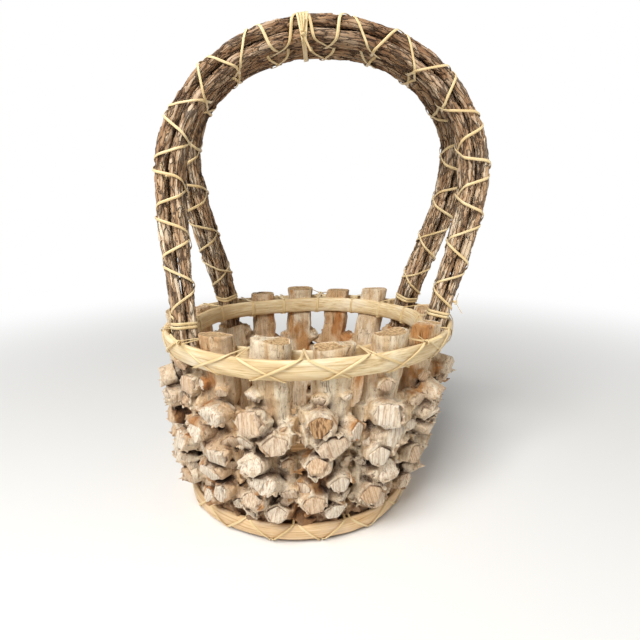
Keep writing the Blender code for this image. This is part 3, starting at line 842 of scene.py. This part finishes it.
def rodRings(node):
    # the rings of a CAD rod, from its right foot to its left one
    cad = mergedCopy(node, "routeSource")
    lowest = min(v.co.z for v in cad.data.vertices)
    start = [v.index for v in cad.data.vertices if v.co.z < lowest + 0.0002 and v.co.x > 0.02]
    rings = walkTube(cad.data, start)
    discard(cad)
    return rings


def curveThrough(places):
    curve = bpy.data.curves.new("rodRoute", "CURVE")
    curve.dimensions = "3D"
    curve.resolution_u = 16
    spline = curve.splines.new("BEZIER")
    spline.bezier_points.add(len(places) - 1)
    for point, (middle, radius) in zip(spline.bezier_points, places):
        point.co = middle
        point.radius = radius
        point.handle_left_type = point.handle_right_type = "AUTO"
    route = bpy.data.objects.new("rodRoute", curve)
    bpy.context.scene.collection.objects.link(route)
    return route


def dressRod(node, number, material, plates, swell, flakes):
    places = []
    for corners in rodRings(node):
        middle = middleOf(corners)
        places.append((middle, middleOf([Vector(((c - middle).length, 0, 0)) for c in corners]).x))
    route = curveThrough(places)
    length = route.data.splines[0].calc_length()
    squeezed = length / rod["plateStretch"]
    rings = int(length / rod["step"])
    spheres = bpy.ops.mesh.primitive_uv_sphere_add
    piece = addPrimitive(spheres, segments=rod["sides"], ring_count=rings, radius=1)
    piece.name = node + "Bark"
    side = 0.05 * number
    for v in piece.data.vertices:
        # the sphere's rings are strung out into a straight rod, beside the others in the bark's pattern
        wide = math.hypot(v.co.x, v.co.y)
        run = squeezed * math.atan2(wide, v.co.z) / math.pi
        reach = rod["radius"] if wide > 0.0001 else 0
        angle = math.atan2(v.co.y, v.co.x)
        v.co = (run, side + reach * math.cos(angle), reach * math.sin(angle))
    for texture, depth, level in (
        (swell, rod["swellDepth"], 0.5),
        (plates, rod["plateDepth"], 0.62),
        (flakes, rod["flakeDepth"], 0.5),
    ):
        applyModifier(piece, "DISPLACE", texture=texture, strength=depth, mid_level=level)
    mesh = piece.data
    usual = sorted(math.hypot(v.co.y - side, v.co.z) for v in mesh.vertices)[len(mesh.vertices) // 2]
    heights, straight = [], []
    for v in mesh.vertices:
        across = Vector((0, v.co.y - side, v.co.z))
        raised = min(rod["plateRise"], max(-rod["crackDepth"], across.length - usual))
        heights.append((raised + rod["crackDepth"]) / (rod["plateRise"] + rod["crackDepth"]))
        across = across.normalized() * (rod["radius"] + raised) if across.length > 0.001 else across
        run = v.co.x * rod["plateStretch"]
        straight += [run + number, across.y, across.z]
        v.co = Vector((run, 0, 0)) + across / rod["cadRadius"]
    mark(mesh, "straight", straight, "FLOAT_VECTOR")
    mark(mesh, "relief", heights)
    applyModifier(piece, "CURVE", object=route, deform_axis="POS_X")
    discard(route)
    selectOnly(piece)
    bpy.ops.object.shade_smooth()
    finishPiece(piece, material, node)


def addRods():
    material = makeVineBark()
    plates = relief("barkPlates", "VORONOI", rod["plateWidth"], weight_1=-1, weight_2=1)
    swell = relief("rodSwell", "CLOUDS", rod["swellLength"], noise_depth=1)
    flakes = relief("barkFlakes", "CLOUDS", rod["flakeSize"], noise_depth=2)
    names = sorted(name for name in nodes if "arch_rod" in name)
    for number, node in enumerate(names):
        dressRod(node, number, material, plates, swell, flakes)
    print("rods:", len(names))


def wallLine(node):
    # where a hoop's bowed face is furthest out: height, middle, radius, and depth as a share of the radius
    low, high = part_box(node)
    radius = (high.x - low.x) / 2
    return high.z - 0.22 * (high.z - low.z), (low.x + high.x) / 2, radius, (high.y - low.y) / 2 / radius


hoopBoxes = {node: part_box(node) for node in nodes if node.endswith("hoop")}
rimLine = wallLine("rim_outer_hoop")
baseLine = wallLine("base_outer_hoop")
hoopDepth = 0.0055
stakeDepth = rimLine[2] - wallLine("rim_inner_hoop")[2] - hoopDepth  # between the hoops that grip the stakes


def wallPlace(azimuth, outward, z):
    # a point of the leaning wall, outward from the outer faces of the outer hoops
    share = (z - baseLine[0]) / (rimLine[0] - baseLine[0])
    middle = baseLine[1] + (rimLine[1] - baseLine[1]) * share
    radius = baseLine[2] + (rimLine[2] - baseLine[2]) * share + outward
    deep = baseLine[3] + (rimLine[3] - baseLine[3]) * share
    return Vector((middle + radius * math.cos(azimuth), deep * radius * math.sin(azimuth), z))


def outFrom(azimuth):
    return Vector((math.cos(azimuth), math.sin(azimuth), 0))


splitCane = {
    "pale": "#f0ddb4",
    "straw": "#dfc391",
    "streak": "#b3925f",
    "shade": "#c8a97a",
    "worn": "#f4e9d2",
    "baseTint": "#fbeee8",
    "baseFrom": 0.05,  # the tint fades out between these heights
    "baseTo": 0.1,
    "fibreWidth": 0.0008,
    "fibreLength": 0.030,
    "roughness": 0.5,
}


def makeSplitCane():
    # thick cane split in half, rind outside: long straight fibres, a dull shine, straw with greyer patches,
    # a little redder at the base
    look = splitCane
    material, shader = startMaterial("splitCaneRind")
    place = addNode(material, "ShaderNodeAttribute", attribute_name="arc")["Vector"]
    fibres = addFibres(material, place, look["fibreWidth"], look["fibreLength"], 0, 4, 0.6)
    patches = addGrain(material, place, (0.3, 1, 1), 45, 3)
    spot = addNode(material, "ShaderNodeTexCoord")["Object"]
    height = addNode(material, "ShaderNodeSeparateXYZ", {0: spot})["Z"]
    links = {"Value": height, 1: look["baseFrom"], 2: look["baseTo"], 3: 1.0, 4: 0.0}
    low = addNode(material, "ShaderNodeMapRange", links)["Result"]
    ramps = {
        "cane": (fibres, [(0.3, look["streak"]), (0.45, look["straw"]), (0.65, look["pale"])]),
        "shade": (patches, [(0.38, "#d0d0d0"), (0.52, "#000000")]),
        "worn": (patches, [(0.55, "#000000"), (0.7, "#c8c8c8")]),
    }
    ramp = {
        name: addNode(material, "ShaderNodeValToRGB", {"Fac": value}, stops)["Color"]
        for name, (value, stops) in ramps.items()
    }
    cane = layOver(
        material,
        ramp["cane"],
        (ramp["shade"], look["shade"], "MIX"),
        (ramp["worn"], look["worn"], "MIX"),
        (low, look["baseTint"], "MULTIPLY"),
    )
    finishMaterial(material, shader, cane, look["roughness"], press(material, (fibres, 0.5, 0.0005, False)))
    return material


hoop = {
    "segments": 200,
    "profile": 20,
    "flatShare": 0.42,
    "waveOut": 0.0009,
    "waveUp": 0.0012,
    "lumpSize": 0.016,
    "lumpDepth": 0.0008,
}


def hoopWave(azimuth, node):
    phase = len(node) + (2.0 if "base" in node else 0)
    out = hoop["waveOut"] * (math.sin(3 * azimuth + phase) + 0.6 * math.sin(8 * azimuth + 2 * phase))
    up = hoop["waveUp"] * (math.sin(2 * azimuth + phase) + 0.4 * math.sin(5 * azimuth + phase))
    return out, up


def hoopSkin(node, azimuth, turn, lift=0):
    # a point of a hoop's skin; turn goes round its section, from the bowed middle at 0 to the flat one at pi
    low, high = hoopBoxes[node]
    side, rise = math.cos(turn), math.sin(turn)
    if side > 0:
        depth = hoopDepth * (hoop["flatShare"] + (1 - hoop["flatShare"]) * side**0.9) + lift * side
    else:
        depth = hoopDepth * hoop["flatShare"] * (1 - abs(side) ** 0.25) + lift * side
    height = (high.z - low.z) / 2
    out, up = hoopWave(azimuth, node)
    z = (low.z + high.z) / 2 + math.copysign(abs(rise) ** 0.75, rise) * height + up + lift * rise
    if "outer" in node:
        return wallPlace(azimuth, depth - hoopDepth + out, z)
    return wallPlace(azimuth, -hoopDepth - stakeDepth - depth - out, z)


def addHoops():
    material = makeSplitCane()
    lumps = relief("hoopLumps", "CLOUDS", hoop["lumpSize"], noise_depth=1)
    for node in sorted(hoopBoxes):
        piece = addPrimitive(
            bpy.ops.mesh.primitive_torus_add,
            major_segments=hoop["segments"],
            minor_segments=hoop["profile"],
            major_radius=1,
            minor_radius=0.1,
        )
        piece.name = node + "Cane"
        arc = []
        for v in piece.data.vertices:
            azimuth = math.atan2(v.co.y, v.co.x)
            turn = math.atan2(v.co.z, math.hypot(v.co.x, v.co.y) - 1)
            v.co = hoopSkin(node, azimuth, turn)
            seam = (azimuth - 2.2) % math.tau
            arc += [seam * rimLine[2] + len(node), v.co.z, math.hypot(v.co.x, v.co.y)]
        mark(piece.data, "arc", arc, "FLOAT_VECTOR")
        applyModifier(piece, "DISPLACE", texture=lumps, strength=hoop["lumpDepth"], mid_level=0.5)
        selectOnly(piece)
        with wholeSelected():
            bpy.ops.mesh.normals_make_consistent(inside=False)
        bpy.ops.object.shade_smooth()
        finishPiece(piece, material, node)
    print("hoops:", len(hoopBoxes))


bindingCane = {
    "pale": "#efdcb0",
    "straw": "#e0c48e",
    "dark": "#bd9a64",
    "fibreWidth": 0.0005,
    "fibreLength": 0.018,
    "roughness": 0.42,
}


def makeBindingCane():
    # peeled cane strip, shaved thin and wound wet: smooth, faintly shiny, straw with browner lengths
    look = bindingCane
    material, shader = startMaterial("peeledCaneStrip")
    place = addNode(material, "ShaderNodeAttribute", attribute_name="along")["Vector"]
    fibres = addFibres(material, place, look["fibreWidth"], look["fibreLength"], 0, 3, 0.6)
    lengths = addGrain(material, place, (1, 0, 0), 22, 2)
    mixed = addNode(material, "ShaderNodeMath", {0: fibres, 1: lengths}, operation="ADD")[0]
    level = addNode(material, "ShaderNodeMath", {0: mixed, 1: 0.5}, operation="MULTIPLY")[0]
    stops = [(0.32, look["dark"]), (0.48, look["straw"]), (0.66, look["pale"])]
    cane = addNode(material, "ShaderNodeValToRGB", {"Fac": level}, stops)["Color"]
    finishMaterial(material, shader, cane, look["roughness"], press(material, (fibres, 0.35, 0.0003, False)))
    return material


strip = {
    "section": ((-1, 0), (-0.8, 0.75), (0, 1), (0.8, 0.75), (1, 0), (0.8, -0.6), (0, -0.7), (-0.8, -0.6)),
    "wrapHalfWidth": 0.00135,
    "lashHalfWidth": 0.0011,
    "halfThickness": 0.0004,
    "underLift": 0.0002,  # over the bark that carries a strip
    "overLift": 0.0010,
    "tieLift": 0.0013,
    "mostMoved": 0.0035,  # away from the cane of the CAD part
    "search": 0.013,  # how far round a strip, and along the bundle, bark can carry it
    "searchAlong": 0.0022,
    "smoothing": 4,  # rings between two stations
    "tension": 0.3,  # below 0.5 the strip bends sharply and doesn't swing out at its corners
    "pinch": 0.6,  # how much narrower the tie over the handle is at its foot
}


def between(before, start, end, after, share):
    # a smooth curve through start and end
    leave, arrive = (end - before) * strip["tension"], (after - start) * strip["tension"]
    return (
        start
        + leave * share
        + (3 * (end - start) - 2 * leave - arrive) * share**2
        + (2 * (start - end) + leave + arrive) * share**3
    )


def skinStrip(name, stations, halfWidth, closed=False, lay=None, narrow=None):
    # skins a flat strip through stations: its middle, and the directions across it and outward
    count = len(stations)
    if closed:
        picks = [[stations[(i + k) % count] for k in (-1, 0, 1, 2)] for i in range(count)]
    else:
        picks = [[stations[min(max(i + k, 0), count - 1)] for k in (-1, 0, 1, 2)] for i in range(count - 1)]
    fine = []
    for four in picks:
        for step in range(strip["smoothing"]):
            share = step / strip["smoothing"]
            place = between(*(station[0] for station in four), share)
            fine.append((place, four[1][1].lerp(four[2][1], share), four[1][2].lerp(four[2][2], share)))
    if not closed:
        fine.append(stations[-1])
    if lay:
        fine = lay(fine)
    points, faces, along = [], [], []
    run, sides = 0, len(strip["section"])
    for i, (place, across, out) in enumerate(fine):
        run += (place - fine[i - 1][0]).length if i else 0
        across = across.normalized() * halfWidth * (narrow(place) if narrow else 1)
        out = out.normalized() * strip["halfThickness"]
        for u, v in strip["section"]:
            points.append(place + across * u + out * v)
            along += [run, u * halfWidth, v * strip["halfThickness"]]
    for i in range(len(fine) if closed else len(fine) - 1):
        first, second = i * sides, (i + 1) % len(fine) * sides
        for k in range(sides):
            turn = (k + 1) % sides
            faces.append((first + k, first + turn, second + turn, second + k))
    if not closed:
        faces.append(tuple(range(sides)))
        faces.append(tuple(range((len(fine) - 1) * sides, len(fine) * sides)))
    mesh = bpy.data.meshes.new(name)
    mesh.from_pydata(points, [], faces)
    piece = bpy.data.objects.new(name, mesh)
    bpy.context.scene.collection.objects.link(piece)
    mark(mesh, "along", along, "FLOAT_VECTOR")
    selectOnly(piece)
    with wholeSelected():
        bpy.ops.mesh.normals_make_consistent(inside=False)
    bpy.ops.object.shade_smooth_by_angle(angle=math.radians(50))
    return piece


def stripStations(node):
    # the route of a CAD strip, from the four corners of each of its stations
    cad = mergedCopy(node, "routeSource")
    vertices = cad.data.vertices
    ends = []
    for face in cad.data.polygons:
        corners = [vertices[v].co for v in face.vertices]
        if sum((b - a).length for a, b in zip(corners, corners[1:] + corners[:1])) < 0.0078:
            ends.append(set(face.vertices))
    start = ends[0].union(*(end for end in ends if end & ends[0]))
    stations = []
    for corners in walkTube(cad.data, start):
        first, thick, wide, far = sorted(corners, key=lambda c: (c - corners[0]).length)
        across, out = wide - first, thick - first
        if stations and across.dot(stations[-1][1]) < 0:
            across = -across
        if stations and out.dot(stations[-1][2]) < 0:
            out = -out
        stations.append((middleOf(corners), across, out))
    discard(cad)
    return stations


def barkTree(arch):
    # the points of the dressed rods that a strip lies on, in a tree that finds them by place
    rods = [node for node in nodes if "arch_rod" in node and node.startswith(arch)]
    places = [v.co.copy() for node in rods for v in bpy.data.objects[node + "Bark"].data.vertices]
    tree = KDTree(len(places))
    for number, place in enumerate(places):
        tree.insert(place, number)
    tree.balance()
    return tree


def layOn(tree, lift):
    # lays a strip on the bundle: it bridges the hollows between rods, as a pulled strip does
    def lay(fine):
        ways, tops = [], []
        for place, _, out in fine:
            course = bundleCourse(place)
            way = (out - course * out.dot(course)).normalized()
            near = [co for co, _, _ in tree.find_range(place, strip["search"])]
            near = [co for co in near if abs((co - place).dot(course)) < strip["searchAlong"]]
            if near and way.dot(place - middleOf(near)) < 0:
                way = -way
            ways.append(way)
            tops.append(max((co.dot(way) for co in near), default=place.dot(way)) + lift)
        places = []
        for (place, _, _), way, top in zip(fine, ways, tops):
            move = min(strip["mostMoved"], max(-strip["mostMoved"], top - place.dot(way)))
            places.append(place + way * move)
        for _ in range(2):
            places[1:-1] = [(a + b * 2 + c) / 4 for a, b, c in zip(places, places[1:], places[2:])]
        places = [place + way * max(0, top - place.dot(way)) for place, way, top in zip(places, ways, tops)]
        return [(place, across, way) for place, (_, across, _), way in zip(places, fine, ways)]

    return lay


handleCourse = []  # places along the handle, with its direction there


def bundleCourse(place):
    if not handleCourse:
        middles = [middleOf(corners) for corners in rodRings("front_arch_rod_1")]
        for before, after in zip(middles, middles[2:]):
            handleCourse.append(((before + after) / 2, (after - before).normalized()))
    flat = Vector((1, 0, 1))
    nearest = min(handleCourse, key=lambda spot: ((spot[0] - place) * flat).length)
    course = nearest[1].copy()
    if place.y > 0:
        course.y = -course.y
    return course


def addWindings(material):
    names = sorted(name for name in nodes if "wrap" in name or name.endswith("tie"))
    trees = {arch: barkTree(arch) for arch in ("front_arch", "back_arch", "")}
    for node in names:
        stations = stripStations(node)
        arch = "" if node == "crown_tie" else node.split("_")[0] + "_arch"
        lift = strip["overLift" if node.endswith("over") else "underLift"]
        narrow = None
        if node == "crown_tie":
            # its turns draw together under the handle, where they are knotted
            low = min(place.z for place, _, _ in stations)
            high = max(place.z for place, _, _ in stations)
            middle = middleOf([place for place, _, _ in stations]).x
            lift = strip["tieLift"]

            def narrow(place):
                share = min(1, max(0, (place.z - low) / (high - low)))
                return 1 - strip["pinch"] * (1 - share)

            gathered = []
            for place, across, out in stations:
                place = place.copy()
                place.x = middle + (place.x - middle) * narrow(place) * 0.85
                gathered.append((place, across, out))
            stations = gathered
        lay = layOn(trees[arch], lift)
        piece = skinStrip(node + "Strip", stations, strip["wrapHalfWidth"], lay=lay, narrow=narrow)
        finishPiece(piece, material, node)
    print("windings:", len(names))


lashing = {
    "lift": 0.0006,
    "overLift": 0.0009,  # more for the strand that crosses over
    "rimShare": 0.72,  # of the way to the next gap, where a strand goes under the hoop
    "baseShare": 0.5,
    "stray": 0.05,
    "outerTurns": (1.5, 1.15, 0.75, 0.35, 0, -0.35, -0.75, -1.15, -1.5),  # round the outer hoop's section
    "innerTurns": (-1.5, -1.15, -0.5, 0.3, 0.9, 1.3),
}


def gapAzimuths():
    # middles of the open gaps between the stakes, at the rim
    turns = []
    for node in nodes:
        if "stake" in node:
            low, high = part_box(node)
            top = [v.co for v in nodes[node].data.vertices if v.co.z > high.z - 0.02]
            middle = middleOf(top)
            turns.append(math.atan2(middle.y / rimLine[3], middle.x - rimLine[1]) % math.tau)
    turns.sort()
    return [a + (b - a) % math.tau / 2 for a, b in zip(turns, turns[1:] + turns[:1])]


def lashRoute(outer, inner, hand, share, gaps):
    pick = random.Random(outer + str(hand))
    stations = []
    gaps = gaps[::hand]
    for gap, ahead in zip(gaps, gaps[1:] + gaps[:1]):
        span = (ahead - gap) % (hand * math.tau)
        low = gap + span * (share + pick.uniform(-1, 1) * lashing["stray"])
        start = gap + hand * pick.uniform(0.005, 0.03)
        end = ahead - hand * pick.uniform(0.0, 0.02)
        for turn in lashing["outerTurns"]:
            azimuth = start + (low - start) * (1 - math.copysign(abs(math.sin(turn)) ** 0.75, turn)) / 2
            lift = lashing["lift"] + (lashing["overLift"] if hand < 0 and turn > -1 else 0)
            place = hoopSkin(outer, azimuth, turn, lift)
            out = outFrom(azimuth) * math.cos(turn) + upward * math.sin(turn)
            stations.append((place, hoopSkin(outer, azimuth + 0.01, turn, lift) - place, out))
        lift = lashing["lift"]
        for turn in lashing["innerTurns"]:
            azimuth = end + (ahead - end) * (turn + 1.5) / 2.8
            place = hoopSkin(inner, azimuth, turn, lift)
            out = upward * math.sin(turn) - outFrom(azimuth) * math.cos(turn)
            stations.append((place, hoopSkin(inner, azimuth + 0.01, turn, lift) - place, out))
    turned = []
    for i, (place, across, out) in enumerate(stations):
        course = stations[(i + 1) % len(stations)][0] - stations[i - 1][0]
        turned.append((place, out.cross(course), out))
    return turned


def addLashings(material):
    gaps = gapAzimuths()
    for node, hand in (("rim_lashing_under", 1), ("rim_lashing_over", -1)):
        stations = lashRoute("rim_outer_hoop", "rim_inner_hoop", hand, lashing["rimShare"], gaps)
        piece = skinStrip(node + "Strip", stations, strip["lashHalfWidth"], closed=True)
        finishPiece(piece, material, node)
    pieces = []
    for hand in (1, -1):
        stations = lashRoute("base_outer_hoop", "base_inner_hoop", hand, lashing["baseShare"], gaps)
        pieces.append(skinStrip("base_lashingStrip", stations, strip["lashHalfWidth"], closed=True))
    selectOnly(*pieces)
    bpy.ops.object.join()
    finishPiece(pieces[0], material, "base_lashing")
    print("lashings done")


knot = {
    "loopRadius": 0.0026,
    "loopPoints": 15,
    "pointsToTurn": 12,
    "loopRise": 0.00018,  # along the strip, from point to point
    "tailLength": 0.012,
    "tailShares": (0.7, 1.2),
    "tailCurl": 0.004,
    "lift": 0.0014,
    "rimLift": 0.0018,
    "onHandle": (  # CAD rod, height over the floor, and the way out of the bundle
        ("front_arch_rod_1", 0.333, (-1, -0.45, 0)),
        ("back_arch_rod_2", 0.312, (-0.8, -0.8, 0)),
        ("front_arch_rod_2", 0.206, (0.95, -0.3, 0)),
    ),
    "onRim": (3, 9, 13),  # gaps between stakes
}


def tieKnot(name, place, out, course, pick):
    # an overhand knot: one small loop round its own strip, and two cut ends that stand off
    across = out.cross(course).normalized()
    course = across.cross(out).normalized()
    stations = []
    for step in range(knot["loopPoints"]):
        turn = math.tau * step / knot["pointsToTurn"]
        side = across * math.cos(turn) + out * math.sin(turn)
        rise = course * (step - knot["loopPoints"] // 2) * knot["loopRise"]
        stations.append((place + side * knot["loopRadius"] * 0.8 + rise, course, side))
    pieces = [skinStrip(name, stations, strip["lashHalfWidth"])]
    for hand in (-1, 1):
        lean = course * hand + across * pick.uniform(-0.5, 0.5) + out * pick.uniform(0.25, 0.7)
        curl = across * pick.uniform(-knot["tailCurl"], knot["tailCurl"])
        start = place + out * 0.0004
        tail = knot["tailLength"] * pick.uniform(*knot["tailShares"])
        route = [start + lean * tail * share + curl * share**2 for share in (0, 0.25, 0.5, 0.75, 1)]
        stations = [(spot, across, out) for spot in route]
        pieces.append(skinStrip(name + "Tail", stations, strip["lashHalfWidth"] * 0.9))
    selectOnly(*pieces)
    bpy.ops.object.join()
    pieces[0].name = name
    return pieces[0]


def skinAt(node, height, out):
    # the point of a rod that is furthest out at a height
    ring = [v.co for v in nodes[node].data.vertices if abs(v.co.z - height) < 0.012]
    return max(ring, key=lambda c: c.dot(out)).copy()


def addKnots(material):
    pick = random.Random(7)
    for number, (node, height, way) in enumerate(knot["onHandle"]):
        out = Vector(way).normalized()
        place = skinAt(node, height, out) + out * knot["lift"]
        finishPiece(tieKnot(f"handleKnot{number + 1}", place, out, upward, pick), material)
    tie = [v.co for v in bpy.data.objects["crown_tieStrip"].data.vertices]
    lowest = min(c.z for c in tie)
    corner = min((c for c in tie if c.z < lowest + 0.012), key=lambda c: c.y).copy()
    corner.x = middleOf(tie).x
    fore = Vector((0, -1, -0.6)).normalized()
    piece = tieKnot("crownKnot", corner + fore * 0.001, fore, upward, pick)
    finishPiece(piece, material)
    gaps = gapAzimuths()
    for number, gap in enumerate(knot["onRim"]):
        place = hoopSkin("rim_outer_hoop", gaps[gap], 1.1, knot["rimLift"])
        out = (outFrom(gaps[gap]) + upward * 1.5).normalized()
        along = outFrom(gaps[gap] + math.pi / 2)
        finishPiece(tieKnot(f"rimKnot{number + 1}", place, out, along, pick), material)
    print("knots:", len(knot["onHandle"]) + len(knot["onRim"]) + 1)


boardWood = {
    "dark": "#8f6a42",
    "middle": "#b08a5c",
    "pale": "#c9a577",
    "earth": "#6d5238",
    "lineWidth": 0.0022,
    "lineLength": 0.06,
    "roughness": 0.7,
}


def dressBoard():
    # thin sawn softwood sheet: straight grain from side to side, dulled by earth and crumbs of bark
    look = boardWood
    material, shader = startMaterial("sawnBoardWood")
    place = addNode(material, "ShaderNodeTexCoord")["Object"]
    lines = addFibres(material, place, look["lineWidth"], look["lineLength"], 0, 4, 0.6)
    stops = [(0.35, look["dark"]), (0.48, look["middle"]), (0.62, look["pale"])]
    wood = addNode(material, "ShaderNodeValToRGB", {"Fac": lines}, stops)["Color"]
    patches = addGrain(material, place, (1, 1, 1), 22, 4)
    stops = [(0.48, "#000000"), (0.66, "#a8a8a8")]
    earthy = addNode(material, "ShaderNodeValToRGB", {"Fac": patches}, stops)["Color"]
    wood = layOver(material, wood, (earthy, look["earth"], "MIX"))
    finishMaterial(material, shader, wood, look["roughness"], press(material, (lines, 0.4, 0.0006, False)))
    for slot in nodes["base_board"].material_slots:
        slot.material = material
    print("board done")


addCamera()
addStudio()
addStakes()
addRods()
addHoops()
stripMaterial = makeBindingCane()
addWindings(stripMaterial)
addLashings(stripMaterial)
addKnots(stripMaterial)
dressBoard()
